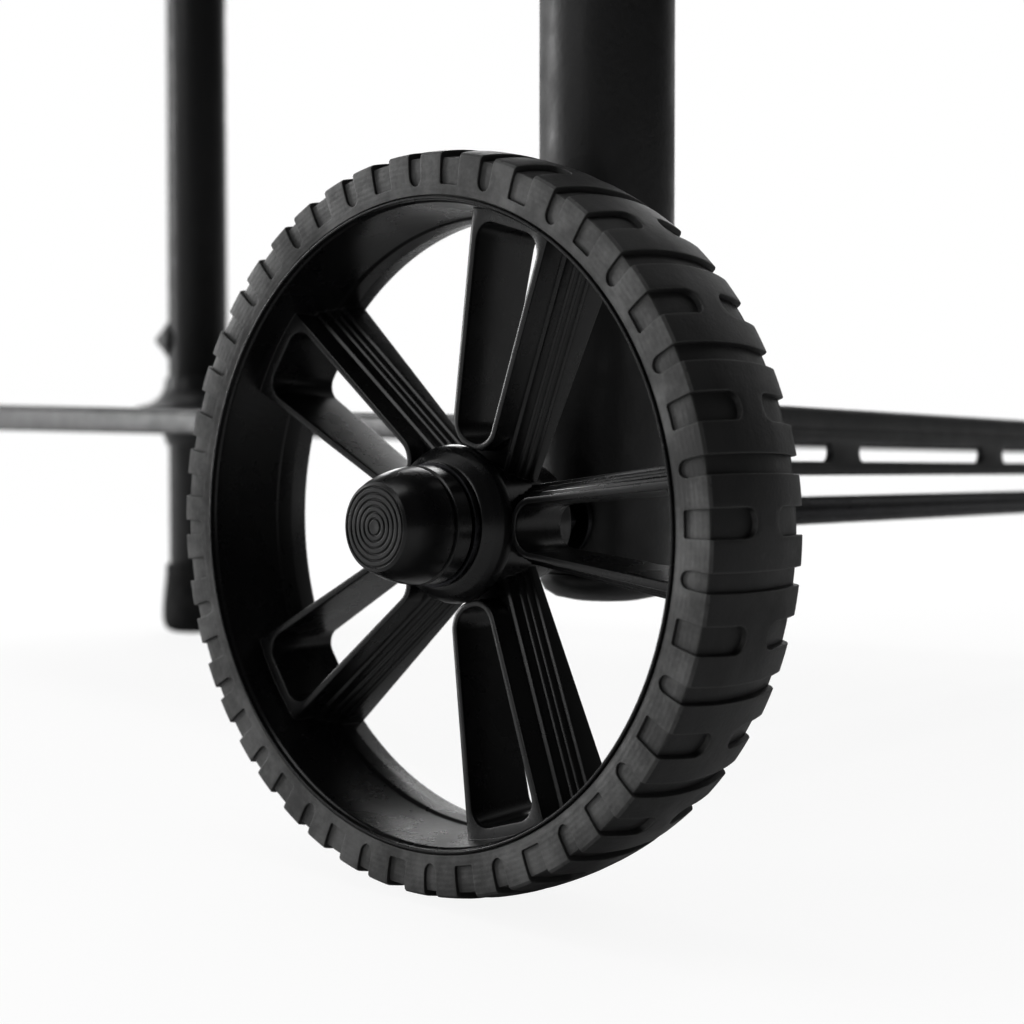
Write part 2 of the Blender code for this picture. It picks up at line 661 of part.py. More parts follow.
def launcher():
    """Two side plates joined by ball guides, carrying the throw wheels on trunnions."""
    place = Vector((0, PIVOT_Y, PIVOT_Z))
    holes = [circle((0, dz), AXLE_RADIUS + GAP, 16) for dz in (-THROW_SPACING, THROW_SPACING)]
    holes += [circle((dy, 0), 0.022, 12) for dy in (-0.075, 0.075)]
    sides = []
    for side in (-1, 1):
        outline = circle((0, 0), LAUNCHER_RADIUS, 32)
        sides.append(plate(f"launcher_side_{side + 1}", [outline] + holes, WALL, "steel",
                           place + Vector((side * (PLATE_X + WALL / 2), 0, 0)),
                           facing((side, 0, 0))))
    chassis = sides[0]
    chassis.name = "launcher_chassis"
    join(chassis, sides[1], "MANIFOLD")
    reach = PLATE_X + 0.0004
    guides = (("rear_guide", -0.108, -0.056, -0.0400, -0.0370),
              ("front_guide_low", 0.048, 0.108, -0.0400, -0.0370),
              ("front_guide_top", 0.048, 0.108, 0.0370, 0.0400))
    for name, y0, y1, z0, z1 in guides:
        guide = box(name, place + Vector((-reach, y0, z0)), place + Vector((reach, y1, z1)), None)
        join(chassis, guide, "MANIFOLD")
    for label, start, end in (("left", -0.1680, -PLATE_X - 0.001),
                              ("right", PLATE_X + 0.001, 0.1590)):
        join(chassis, cylinder(f"trunnion_{label}", 0.0080, place + Vector((start, 0, 0)),
                               place + Vector((end, 0, 0)), None, 24), "MANIFOLD")
    moved(chassis, LAUNCHER)
    knob = [(0.0, 0.0205), (0.0200, 0.0205), (0.0240, 0.0180), (0.0250, 0.0030),
            (0.0083, 0.0030), (0.0083, 0.0085), (0.0, 0.0085)]
    turned("elevation_knob", knob, "plastic", (-HALF_WIDTH, PIVOT_Y, PIVOT_Z), (-1, 0, 0), 32)
    moved(bpy.data.objects["elevation_knob"], LAUNCHER)


def throw_wheel(label, side):
    """Rubber-faced wheel with its shaft, and the motor that turns it."""
    height = PIVOT_Z + side * THROW_SPACING
    axis = pivot(f"throw_wheel_{label}_axis", (0, PIVOT_Y, height))
    disc = [(0.0, 0.0520), (0.0040, 0.0520), (0.0040, 0.0300), (0.0120, 0.0300),
            (0.0120, 0.0250), (THROW_RADIUS, 0.0250), (0.0480, 0.0), (THROW_RADIUS, -0.0250),
            (0.0120, -0.0250), (0.0120, -0.0300), (0.0040, -0.0300), (0.0040, -0.0450),
            (0.0, -0.0450)]
    turned(f"throw_wheel_{label}", disc, "green", (0, PIVOT_Y, height), (side, 0, 0), 24, axis)
    moved(axis, LAUNCHER)
    face = PLATE_X + WALL + GAP
    shell = [(0.0, 0.1050), (MOTOR_RADIUS, 0.1050), (MOTOR_RADIUS, face), (0.0043, face),
             (0.0043, 0.0560), (0.0, 0.0560)]
    motor = turned(f"throw_motor_{label}", shell, "grey", (0, PIVOT_Y, height), (side, 0, 0), 24)
    moved(motor, LAUNCHER)


# ---------------------------------------------------------------- feeder and hopper
def loft(name, sections, finish, parent=None):
    """Closed solid through outlines of equal point count, each at its own height."""
    mesh = bpy.data.meshes.new(name)
    work = bmesh.new()
    rings = [[work.verts.new((x, y, z)) for x, y in outline] for outline, z in sections]
    count = len(rings[0])
    for low, high in zip(rings, rings[1:]):
        for i in range(count):
            j = (i + 1) % count
            work.faces.new((low[i], low[j], high[j], high[i]))
    work.faces.new(list(reversed(rings[0])))
    work.faces.new(rings[-1])
    work.to_mesh(mesh)
    work.free()
    return add(name, mesh, finish, parent=parent)


def hopper():
    """Open bin that widens upwards, with holes in its floor for the ball and the motor."""
    def section(half, corner, height):
        return rectangle(half, half, corner, (0, HOPPER_Y), 5), height

    sheet = 0.0035
    neck = HOPPER_FLOOR + 0.045
    outer = [section(HOPPER_LOW, 0.030, HOPPER_FLOOR), section(HOPPER_LOW, 0.030, neck),
             section(HOPPER_HIGH, 0.040, HOPPER_TOP)]
    bin_ = loft("hopper_bin", outer, "plastic")
    inner = [section(HOPPER_LOW - sheet, 0.0265, HOPPER_FLOOR + sheet),
             section(HOPPER_LOW - sheet, 0.0265, neck),
             section(HOPPER_HIGH - sheet, 0.0365, HOPPER_TOP + 0.001)]
    cut(bin_, loft("hopper_hollow", inner, None))
    cut(bin_, cylinder("hopper_drop_hole", DROP_RADIUS, (0, DROP_Y, HOPPER_FLOOR - 0.002),
                       (0, DROP_Y, HOPPER_FLOOR + 0.008), None, 32))
    cut(bin_, cylinder("hopper_motor_hole", 0.0260, (0, FEED_Y, HOPPER_FLOOR - 0.002),
                       (0, FEED_Y, HOPPER_FLOOR + 0.008), None, 24))
    moved(bin_, TURRET)


def feeder():
    """Star wheel with five ball pockets, turned by the motor under its hub."""
    centre = (0, FEED_Y, 0)
    motor = [(0.0, 0.9350), (0.0030, 0.9350), (0.0030, 0.9250), (0.0240, 0.9250),
             (0.0240, DECK_Z + WALL + GAP), (0.0, DECK_Z + WALL + GAP)]
    turned("feed_motor", motor, "grey", centre, segments=24, parent=TURRET)
    axis = pivot("feed_carousel_axis", (0, FEED_Y, 0.905))
    hub = [(0.0, 0.9450), (0.0200, 0.9430), (0.0340, 0.9300), (0.0340, 0.8950),
           (0.0275, 0.8950), (0.0275, 0.9280), (0.0033, 0.9280), (0.0033, 0.9380), (0.0, 0.9380)]
    star = turned("feed_carousel", hub, "green", centre, segments=32)
    reach = FEED_Y - DROP_Y
    outline = []
    for i in range(5):
        angle = -90 + 72 * i
        pocket = (reach * math.cos(math.radians(angle)), reach * math.sin(math.radians(angle)))
        outline += arc(pocket, DROP_RADIUS, angle - 70, angle - 290, 7)
        outline += arc((0, 0), 0.1240, angle + 24, angle + 48, 3)
    disc = plate("star_disc", [outline, circle((0, 0), 0.0300, 20)], 0.016, "green",
                 (0, FEED_Y, 0.9040))
    join(star, disc, "MANIFOLD")
    moved(star, axis)
    moved(axis, TURRET)


# ---------------------------------------------------------------- handle
def handle():
    """Folding push handle on two clevis brackets behind the wheel legs."""
    axis = pivot("push_handle_axis", (0, HANDLE_Y, HANDLE_Z))
    top_y = HANDLE_Y - HANDLE_LEAN
    right = arc((LEG_X - HANDLE_BEND, HANDLE_TOP - HANDLE_BEND), HANDLE_BEND, 0, 90, 6)
    side = [(LEG_X, HANDLE_Y, HANDLE_Z - 0.009), (LEG_X, HANDLE_Y, HANDLE_Z + 0.030),
            (LEG_X, top_y, HANDLE_Z + 0.300)]
    side += [(x, top_y, z) for x, z in right]
    path = side + [(-x, y, z) for x, y, z in reversed(side)]
    tube = rod("push_handle", path, HANDLE_RADIUS, "tube", 2)
    for label, x in (("left", -LEG_X), ("right", LEG_X)):
        cut(tube, cylinder(f"handle_hole_{label}", 0.0043, (x - 0.02, HANDLE_Y, HANDLE_Z),
                           (x + 0.02, HANDLE_Y, HANDLE_Z), None, 16))
        bracket(label, x)
    moved(tube, axis)
    grip = ring("handle_grip", GRIP_RADIUS, HANDLE_RADIUS + GAP, -GRIP_REACH, GRIP_REACH, "rubber",
                (0, top_y, HANDLE_TOP), (1, 0, 0), 24)
    moved(grip, axis)


def bracket(label, x):
    """Clevis on the platform's rear edge, with the bolt that the handle turns on."""
    face = AXLE_Y - PLATFORM_EDGE - GAP
    web = box(f"handle_bracket_{label}", (x - 0.0165, face - 0.003, 0.5600),
              (x + 0.0165, face, 0.6180), "tube")
    for i, ear in enumerate((-EAR_X, EAR_X)):
        ear_box = box(f"handle_ear_{label}_{i}", (x + ear - 0.0015, HANDLE_Y - 0.0095, 0.5780),
                      (x + ear + 0.0015, face - 0.002, 0.6160), None)
        join(web, ear_box, "MANIFOLD")
    cut(web, cylinder(f"bracket_hole_{label}", 0.0043, (x - 0.03, HANDLE_Y, HANDLE_Z),
                      (x + 0.03, HANDLE_Y, HANDLE_Z), None, 16), "MANIFOLD")
    bolt = [(0.0, 0.0205), (0.0050, 0.0205), (0.0065, 0.0190), (0.0065, 0.0168),
            (0.0040, 0.0168), (0.0040, -0.0168), (0.0065, -0.0168), (0.0065, -0.0205),
            (0.0, -0.0205)]
    turned(f"handle_bolt_{label}", bolt, "steel", (x, HANDLE_Y, HANDLE_Z), (1, 0, 0), 16)


def build():
    leg("leg_left", -LEG_X, AXLE_Y, WHEEL_LEG_BOTTOM)
    leg("leg_right", LEG_X, AXLE_Y, WHEEL_LEG_BOTTOM)
    leg("leg_front", 0, FRONT_Y, FRONT_LEG_BOTTOM)
    leg_plug("leg_plug_left", -LEG_X)
    leg_plug("leg_plug_right", LEG_X)
    front_foot()
    shelf()
    collars()
    bolt_cap()
    axle()
    for label, side in (("left", -1), ("right", 1)):
        wheel(label, side)
        wheel_fittings(label, side)
    platform()
    turntable()
    housing()
    controls()
    power()
    launcher()
    throw_wheel("top", 1)
    throw_wheel("bottom", -1)
    feeder()
    hopper()
    handle()


build()
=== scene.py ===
"""Looks for the wheeled tennis ball machine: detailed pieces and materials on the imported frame."""
import json
import math

import bmesh
import bpy
from mathutils import Matrix, Vector


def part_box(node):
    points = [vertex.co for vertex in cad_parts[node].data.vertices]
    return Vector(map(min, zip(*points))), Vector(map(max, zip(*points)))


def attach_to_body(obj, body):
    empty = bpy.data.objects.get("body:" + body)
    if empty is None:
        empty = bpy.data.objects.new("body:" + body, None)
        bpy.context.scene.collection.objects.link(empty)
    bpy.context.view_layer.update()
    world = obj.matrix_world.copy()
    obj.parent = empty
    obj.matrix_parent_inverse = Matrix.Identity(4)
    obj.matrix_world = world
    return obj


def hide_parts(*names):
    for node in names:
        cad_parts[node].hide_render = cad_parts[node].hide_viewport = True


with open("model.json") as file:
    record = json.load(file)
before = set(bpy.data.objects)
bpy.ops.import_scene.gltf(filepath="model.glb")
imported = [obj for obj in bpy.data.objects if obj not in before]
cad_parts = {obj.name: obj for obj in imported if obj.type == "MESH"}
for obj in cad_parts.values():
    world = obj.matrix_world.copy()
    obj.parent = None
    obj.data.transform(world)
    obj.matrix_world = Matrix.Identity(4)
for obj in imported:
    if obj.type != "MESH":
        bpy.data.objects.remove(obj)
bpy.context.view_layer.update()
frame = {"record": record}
BEHAVIOUR = frame["record"]["behaviour"]
JOINTS = {joint["name"]: Vector(joint["pos_m"]) for joint in BEHAVIOUR["joints"]}
BODY_OF = {node: body for body, nodes in BEHAVIOUR["bodies"].items() for node in nodes}
MM = 0.001
WELD = 1e-6                            # points closer than this are one point
FLAT = Matrix.Identity(4)
REARWARD = (0, -1, 0)
SIDES = (("left", -1), ("right", 1))   # label and sign of X


# ---------------------------------------------------------------- places, all from the frame
def low(node):
    return Vector(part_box(node)[0])


def high(node):
    return Vector(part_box(node)[1])


def centre(node):
    return (low(node) + high(node)) / 2


AXLE = JOINTS["wheel_left_spin"]
AXLE_Y, AXLE_Z = AXLE.y, AXLE.z
FACE_X = low("tyre_left").x            # outer shoulder plane of the left wheel
LEG_LEFT, LEG_RIGHT, LEG_FRONT = centre("leg_left"), centre("leg_right"), centre("leg_front")
LEG_RADIUS = (high("leg_left").x - low("leg_left").x) / 2
TURRET, PIVOT = JOINTS["turret_sweep"], JOINTS["launcher_tilt"]


# ---------------------------------------------------------------- mesh helpers
def attach(name, mesh, node):
    """Object of a mesh that stands for a CAD node and rides on its body."""
    part = bpy.data.objects.new(name, mesh)
    bpy.context.scene.collection.objects.link(part)
    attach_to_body(part, BODY_OF[node])
    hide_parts(node)
    return part


def finish_piece(name, mesh, finish, node, smooth=35):
    """Weld, shade and attach a mesh; edges sharper than smooth, in degrees, stay sharp."""
    work = bmesh.new()
    work.from_mesh(mesh)
    bmesh.ops.remove_doubles(work, verts=work.verts, dist=WELD)
    bmesh.ops.recalc_face_normals(work, faces=work.faces)
    work.to_mesh(mesh)
    work.free()
    mesh.shade_smooth()
    mesh.set_sharp_from_angle(angle=math.radians(smooth))
    mesh.materials.clear()
    mesh.materials.append(finish)
    return attach(name, mesh, node)


def piece(name, shape, finish, node, smooth=35, place=FLAT):
    """Finished piece from a shape, which is a list of points and a list of faces."""
    verts, faces = shape
    mesh = bpy.data.meshes.new(name)
    mesh.from_pydata([tuple(place @ Vector(v)) for v in verts], [], faces)
    mesh.update()
    return finish_piece(name, mesh, finish, node, smooth)


def along(origin, direction):
    """Matrix from local axes to the frame: local Z runs along a direction, local Y is up."""
    turn = Vector(direction).to_track_quat("Z", "Y").to_matrix().to_4x4()
    return Matrix.Translation(Vector(origin)) @ turn


def at(x, y, z):
    """Matrix that moves the origin to a point."""
    return Matrix.Translation((x, y, z))


def mm(*points, out=0.0, up=0.0):
    """Outline points given in millimetres, moved by out and up, which are in metres."""
    return [(a * MM + out, b * MM + up) for a, b in points]


def ring_faces(rings, count):
    """Faces between equal rings of points, and from the last ring back to the first."""
    faces = []
    for ring in range(rings):
        upper = (ring + 1) % rings
        for i in range(count):
            j = (i + 1) % count
            faces.append((ring * count + i, ring * count + j, upper * count + j,
                          upper * count + i))
    return faces


def lathe_data(profile, segments=96):
    """Shape of a closed outline of (radius, height) turned about Z."""
    verts, faces, rings = [], [], []
    for radius, height in profile:
        if radius < 1e-7:
            rings.append([len(verts)])
            verts.append((0.0, 0.0, height))
            continue
        rings.append(list(range(len(verts), len(verts) + segments)))
        for i in range(segments):
            angle = 2 * math.pi * i / segments
            verts.append((radius * math.cos(angle), radius * math.sin(angle), height))
    pairs = list(zip(rings, rings[1:]))
    if len(rings[0]) > 1 and len(rings[-1]) > 1:
        pairs.append((rings[-1], rings[0]))
    for upper, lower in pairs:
        if len(upper) == 1 and len(lower) == 1:
            continue
        for i in range(segments):
            j = (i + 1) % segments
            if len(upper) == 1:
                faces.append((upper[0], lower[i], lower[j]))
            elif len(lower) == 1:
                faces.append((upper[i], lower[0], upper[j]))
            else:
                faces.append((upper[i], lower[i], lower[j], upper[j]))
    return verts, faces


def lathe(name, profile, finish, node, origin=(0, 0, 0), direction=(0, 0, 1), segments=96,
          smooth=35):
    """Finished piece turned about the axis that leaves the origin in a direction."""
    return piece(name, lathe_data(profile, segments), finish, node, smooth,
                 along(origin, direction))


def soften(profile, radius, steps=3):
    """Round every corner of a closed outline with a short arc-like curve."""
    out = []
    for i, here in enumerate(profile):
        here = Vector(here)
        before, after = Vector(profile[i - 1]), Vector(profile[(i + 1) % len(profile)])
        a = min(radius, (before - here).length * 0.45)
        b = min(radius, (after - here).length * 0.45)
        if a < 1e-6 or b < 1e-6:
            out.append(tuple(here))
            continue
        first = here + (before - here).normalized() * a
        last = here + (after - here).normalized() * b
        for k in range(steps + 1):
            t = k / steps
            out.append(tuple(first * (1 - t) ** 2 + here * 2 * t * (1 - t) + last * t ** 2))
    return out


def arc(middle, radius, start, end, steps):
    angles = [math.radians(start + (end - start) * i / steps) for i in range(steps + 1)]
    return [(middle[0] + radius * math.cos(a), middle[1] + radius * math.sin(a)) for a in angles]


def circle(middle, radius, steps=48):
    return arc(middle, radius, 0, 360, steps)[:-1]


def rounded(corners, radius, steps=8):
    """Convex counter-clockwise outline with its corners as arcs; radius may be one per corner."""
    outline = []
    for i, here in enumerate(corners):
        r = radius[i] if isinstance(radius, (list, tuple)) else radius
        here = Vector(here)
        before = (Vector(corners[i - 1]) - here).normalized()
        after = (Vector(corners[(i + 1) % len(corners)]) - here).normalized()
        half = math.acos(max(-1.0, min(1.0, before.dot(after)))) / 2
        middle = here + (before + after).normalized() * (r / math.sin(half))
        first = here + before * (r / math.tan(half)) - middle
        last = here + after * (r / math.tan(half)) - middle
        begin = math.degrees(math.atan2(first.y, first.x))
        sweep = (math.degrees(math.atan2(last.y, last.x)) - begin) % 360
        outline += arc(middle, r, begin, begin + sweep, steps)
    return outline


def rectangle(half_x, half_y, radius=0.0, middle=(0.0, 0.0), steps=8):
    x, y = middle
    corners = [(x - half_x, y - half_y), (x + half_x, y - half_y),
               (x + half_x, y + half_y), (x - half_x, y + half_y)]
    return rounded(corners, radius, steps) if radius else corners


def slot(middle, length, width, steps=10):
    """Outline of a long hole with round ends."""
    reach = (length - width) / 2
    return (arc((middle[0] + reach, middle[1]), width / 2, -90, 90, steps)
            + arc((middle[0] - reach, middle[1]), width / 2, 90, 270, steps))


def sheet_mesh(outlines, thickness, edge=0.0):
    """Mesh of a flat sheet with holes; edge rounds every rim, outer size kept."""
    curve = bpy.data.curves.new("sheet", "CURVE")
    curve.dimensions = "2D"
    curve.fill_mode = "BOTH"
    curve.extrude = thickness / 2 - edge
    curve.bevel_depth = edge
    curve.bevel_resolution = 2
    curve.offset = -edge
    for outline in outlines:
        spline = curve.splines.new("POLY")
        spline.points.add(len(outline) - 1)
        for point, (x, y) in zip(spline.points, outline):
            point.co = (x, y, 0.0, 1.0)
        spline.use_cyclic_u = True
    holder = bpy.data.objects.new("sheet", curve)
    bpy.context.scene.collection.objects.link(holder)
    bpy.context.view_layer.update()
    mesh = bpy.data.meshes.new_from_object(
        holder.evaluated_get(bpy.context.evaluated_depsgraph_get()))
    bpy.data.objects.remove(holder)
    bpy.data.curves.remove(curve)
    return mesh


def sheet(name, outlines, thickness, finish, node, turn, edge=0.6 * MM):
    """Finished piece of flat sheet with holes, put in place by the matrix turn."""
    mesh = sheet_mesh(outlines, thickness, edge)
    mesh.transform(turn)
    return finish_piece(name, mesh, finish, node, 40)


def frame_ring(name, half, band, radii, middle, height, turn, finish, node):
    """Raised rectangular frame with a band's width in each direction; radii outside and inside."""
    outer = rectangle(*half, radii[0], middle)
    inner = rectangle(half[0] - band[0], half[1] - band[1], radii[1], middle)
    sheet(name, [outer, inner], height, finish, node, turn, MM)


def tube(name, path, radius, finish, node, sides):
    """Round bar along a path of points, closed at both ends."""
    path = [Vector(p) for p in path]
    verts, faces, rings = [], [], []
    tangents = [(after - before).normalized()
                for before, after in zip(path[:1] + path[:-1], path[1:] + path[-1:])]
    side = tangents[0].orthogonal().normalized()
    for point, tangent in zip(path, tangents):
        side = (side - tangent * side.dot(tangent)).normalized()
        other = tangent.cross(side)
        rings.append(range(len(verts), len(verts) + sides))
        for k in range(sides):
            a = 2 * math.pi * k / sides
            verts.append(point + side * radius * math.cos(a) + other * radius * math.sin(a))
    for lower, upper in zip(rings, rings[1:]):
        for k in range(sides):
            j = (k + 1) % sides
            faces.append((lower[k], lower[j], upper[j], upper[k]))
    faces += [tuple(reversed(rings[0])), tuple(rings[-1])]
    return piece(name, (verts, faces), finish, node)


def block_data(lower, upper, edge=0.0, steps=3):
    """Shape of a box between two corners, with rounded edges."""
    lower, upper = Vector(lower), Vector(upper)
    work = bmesh.new()
    bmesh.ops.create_cube(work, size=1.0)
    bmesh.ops.scale(work, vec=upper - lower, verts=work.verts)
    if edge:
        bmesh.ops.bevel(work, geom=work.edges, offset=edge, segments=steps, profile=0.5,
                        affect="EDGES")
    bmesh.ops.translate(work, vec=(lower + upper) / 2, verts=work.verts)
    return points_and_faces(work)


def points_and_faces(work):
    """Shape held by a bmesh, which is freed."""
    work.verts.index_update()
    shape = ([v.co.copy() for v in work.verts], [tuple(v.index for v in f.verts) for f in work.faces])
    work.free()
    return shape


def merged(parts):
    """One shape from several, each with its own transform."""
    verts, faces = [], []
    for (part_verts, part_faces), transform in parts:
        start = len(verts)
        verts += [transform @ Vector(v) for v in part_verts]
        faces += [tuple(i + start for i in face) for face in part_faces]
    return verts, faces


def mirrored(source, name, node):
    """Copy of a finished piece on the other side of X = 0."""
    mesh = source.data.copy()
    mesh.transform(Matrix.Scale(-1, 4, (1, 0, 0)))
    mesh.flip_normals()
    attach(name, mesh, node)


# ---------------------------------------------------------------- materials
WHITE = (1, 1, 1, 1)


class Nodes:
    """Makes and wires the nodes of one shader tree."""

    def __init__(self, tree):
        self.tree = tree

    def link(self, source, target):
        self.tree.links.new(source, target)

    def node(self, kind, sockets=None, **settings):
        """New node; a socket's value is either a constant or another node's output."""
        made = self.tree.nodes.new("ShaderNode" + kind)
        for key, value in settings.items():
            setattr(made, key, value)
        for key, value in (sockets or {}).items():
            if isinstance(value, bpy.types.NodeSocket):
                self.link(value, made.inputs[key])
            else:
                made.inputs[key].default_value = value
        return made

    def math(self, operation, *values):
        return self.node("Math", dict(enumerate(values)), operation=operation).outputs["Value"]

    def vector_math(self, operation, *values):
        made = self.node("VectorMath", dict(enumerate(values)), operation=operation)
        return made.outputs["Value" if operation in ("DOT_PRODUCT", "LENGTH") else "Vector"]

    def ramp(self, source, low_at, high_at, low_value=0.0, high_value=1.0):
        """Map a value smoothly from one range to another."""
        made = self.node("MapRange", {"From Min": low_at, "From Max": high_at, "To Min": low_value,
                                      "To Max": high_value, "Value": source},
                         interpolation_type="SMOOTHSTEP")
        return made.outputs["Result"]

    def blend_shaders(self, factor, first, second, output):
        mix = self.node("MixShader", {0: factor, 1: first.outputs[0], 2: second.outputs[0]})
        self.link(mix.outputs[0], self.tree.nodes[output].inputs["Surface"])

    def camera_ray(self):
        return self.node("LightPath").outputs["Is Camera Ray"]


class Finish(Nodes):
    """One Principled material."""

    def __init__(self, name, base, roughness, metallic=0.0, specular=0.5):
        self.material = bpy.data.materials.new(name)
        self.material.use_nodes = True
        super().__init__(self.material.node_tree)
        self.out = self.tree.nodes["Principled BSDF"]
        for socket, value in (("Base Color", (*base, 1.0)), ("Roughness", roughness),
                              ("Metallic", metallic), ("Specular IOR Level", specular)):
            self.out.inputs[socket].default_value = value
        self.place = self.node("TexCoord").outputs["Object"]
        self.relief = None

    def noise(self, scale, detail=3.0, roughness=0.5, stretch=None):
        source = self.place
        if stretch:
            source = self.node("Mapping", {"Scale": stretch, "Vector": source}).outputs["Vector"]
        return self.node("TexNoise", {"Scale": scale, "Detail": detail, "Roughness": roughness,
                                      "Vector": source}).outputs["Fac"]

    def cells(self, scale, feature):
        return self.node("TexVoronoi", {"Scale": scale, "Vector": self.place},
                         feature=feature).outputs["Distance"]

    def mix(self, factor, colour_a, colour_b):
        made = self.node("Mix", {"Factor": factor}, data_type="RGBA")
        for socket, colour in (("A", colour_a), ("B", colour_b)):
            target = [s for s in made.inputs if s.name == socket and s.type == "RGBA"][0]
            if isinstance(colour, tuple):
                target.default_value = (*colour, 1.0)
            else:
                self.link(colour, target)
        return [s for s in made.outputs if s.type == "RGBA"][0]

    def colour(self, source):
        self.link(source, self.out.inputs["Base Color"])

    def rough(self, source):
        self.link(source, self.out.inputs["Roughness"])

    def mottle(self, noise, dark, light):
        """Colour that wanders between two tones."""
        self.colour(self.mix(self.ramp(noise, 0.35, 0.7), dark, light))

    def sheen(self, noise, low_rough, high_rough):
        """Roughness that wanders between two values."""
        self.rough(self.ramp(noise, 0.3, 0.7, low_rough, high_rough))

    def bump(self, source, distance):
        """Add one layer of relief, in metres, on top of the layers before it."""
        made = self.node("Bump", {"Distance": distance, "Strength": 1.0, "Height": source})
        if self.relief is not None:
            self.link(self.relief, made.inputs["Normal"])
        self.set_relief(made)

    def edges(self, radius):
        """Round sharp edges in the shading by a small radius; the first layer of relief."""
        self.set_relief(self.node("Bevel", {"Radius": radius}, samples=4))

    def set_relief(self, made):
        self.relief = made.outputs["Normal"]
        self.link(self.relief, self.out.inputs["Normal"])


def moulded_gloss():
    """Glossy injection-moulded black: faint flow marks, fine haze and a few dust specks."""
    black = (0.006, 0.006, 0.0065)
    m = Finish("moulded_gloss", black, 0.27)
    m.edges(0.25 * MM)
    m.rough(m.ramp(m.noise(90, 4, 0.6), 0.3, 0.75, 0.25, 0.32))
    dots = m.ramp(m.cells(420, "F1"), 0.03, 0.08, 1.0, 0.0)
    sparse = m.ramp(m.noise(45, 2), 0.60, 0.72, 0.0, 0.5)
    m.colour(m.mix(m.math("MULTIPLY", dots, sparse), black, (0.07, 0.07, 0.07)))
    m.bump(m.noise(700, 2, 0.5), 0.02 * MM)
    m.bump(m.noise(35, 2, 0.4), 0.04 * MM)
    return m.material


MOULD_RING = 1.1 * MM                  # spacing of the fine rings left by the tyre's mould


def tread_rubber():
    """Matte tyre rubber: mottled, scuffed, painted highlights on its edges, a painted sheen on the
    sidewalls, fine mould rings.
    """
    m = Finish("tread_rubber", (0.02, 0.02, 0.021), 0.7, specular=0.42)
    m.edges(0.2 * MM)
    blotch = m.ramp(m.noise(28, 6, 0.65), 0.32, 0.72)
    base = m.mix(blotch, (0.0135, 0.0135, 0.0140), (0.0270, 0.0268, 0.0265))
    scuff = m.ramp(m.noise(260, 5, 0.75), 0.60, 0.74, 0.0, 0.45)
    base = m.mix(scuff, base, (0.055, 0.054, 0.052))
    normal = m.node("NewGeometry").outputs["Normal"]
    # painted highlight: where the rounded-off normal turns away from the true normal, along the
    # edges, the colour is lighter
    rounded_off = m.node("Bevel", {"Radius": 0.5 * MM}, samples=4).outputs[0]
    painted_edge_highlight = m.ramp(m.vector_math("DOT_PRODUCT", rounded_off, normal), 0.86, 0.99, 0.7, 0.0)
    base = m.mix(painted_edge_highlight, base, (0.13, 0.13, 0.127))
    # painted sheen: faces that point along X, the sidewalls, are coloured lighter in noisy patches
    facing = m.math("ABSOLUTE", m.node("SeparateXYZ", {0: normal}).outputs["X"])
    painted_sheen_noise = m.ramp(m.noise(60, 5, 0.7), 0.35, 0.7, 0.2, 0.9)
    painted_sidewall_sheen = m.math("MULTIPLY", m.ramp(facing, 0.55, 0.95), painted_sheen_noise)
    m.colour(m.mix(painted_sidewall_sheen, base, (0.14, 0.14, 0.139)))
    m.rough(m.ramp(blotch, 0.0, 1.0, 0.44, 0.68))
    offset = m.vector_math("SUBTRACT", m.place, tuple(AXLE))
    distance = m.vector_math("LENGTH", m.vector_math("MULTIPLY", offset, (0.0, 1.0, 1.0)))
    wave = m.math("SINE", m.math("MULTIPLY", distance, 2 * math.pi / MOULD_RING))
    m.bump(wave, 0.01 * MM)
    m.bump(m.noise(1500, 3, 0.6), 0.06 * MM)
    m.bump(m.noise(180, 3, 0.6), 0.10 * MM)
    return m.material


def powder_coat(name, base, lift, low_rough, high_rough):
    """Satin powder coat: orange-peel relief over a slightly uneven tone."""
    m = Finish(name, base, 0.42)
    m.edges(0.4 * MM)
    m.mottle(m.noise(16, 4, 0.6), base, lift)
    m.sheen(m.noise(120, 4, 0.6), low_rough, high_rough)
    m.bump(m.noise(620, 2, 0.45), 0.07 * MM)
    m.bump(m.noise(2400, 1, 0.5), 0.02 * MM)
    return m.material


def steel(name, base, low_rough, high_rough):
    """Plated steel with fine brushing and slight stains."""
    m = Finish(name, base, low_rough, 1.0)
    m.edges(0.2 * MM)
    m.mottle(m.noise(50, 5, 0.6), tuple(c * 0.72 for c in base), base)
    m.sheen(m.noise(300, 3, 0.5, (1, 1, 12)), low_rough, high_rough)
    m.bump(m.noise(900, 2, 0.5, (1, 1, 10)), 0.015 * MM)
    return m.material


def grained_plastic(name, base, lift, low_rough=0.42, high_rough=0.6, cell=900, depth=0.07):
    """Moulded housing plastic with a fine leather-like grain, its depth in millimetres."""
    m = Finish(name, base, 0.5)
    m.edges(0.5 * MM)
    m.mottle(m.noise(9, 5, 0.6), base, lift)
    m.sheen(m.noise(70, 4, 0.6), low_rough, high_rough)
    m.bump(m.cells(cell, "SMOOTH_F1"), depth * MM)
    m.bump(m.noise(cell * 2.2, 2, 0.5), depth * MM * 0.4)
    return m.material


def soft_rubber(name, base, lift, cell=1300, depth=0.08):
    """Soft rubber or foam with a fine open texture, its depth in millimetres."""
    m = Finish(name, base, 0.8, specular=0.3)
    m.edges(0.3 * MM)
    m.mottle(m.noise(60, 6, 0.7), base, lift)
    m.sheen(m.noise(200, 4, 0.6), 0.68, 0.9)
    m.bump(m.noise(cell, 4, 0.7), depth * MM)
    return m.material


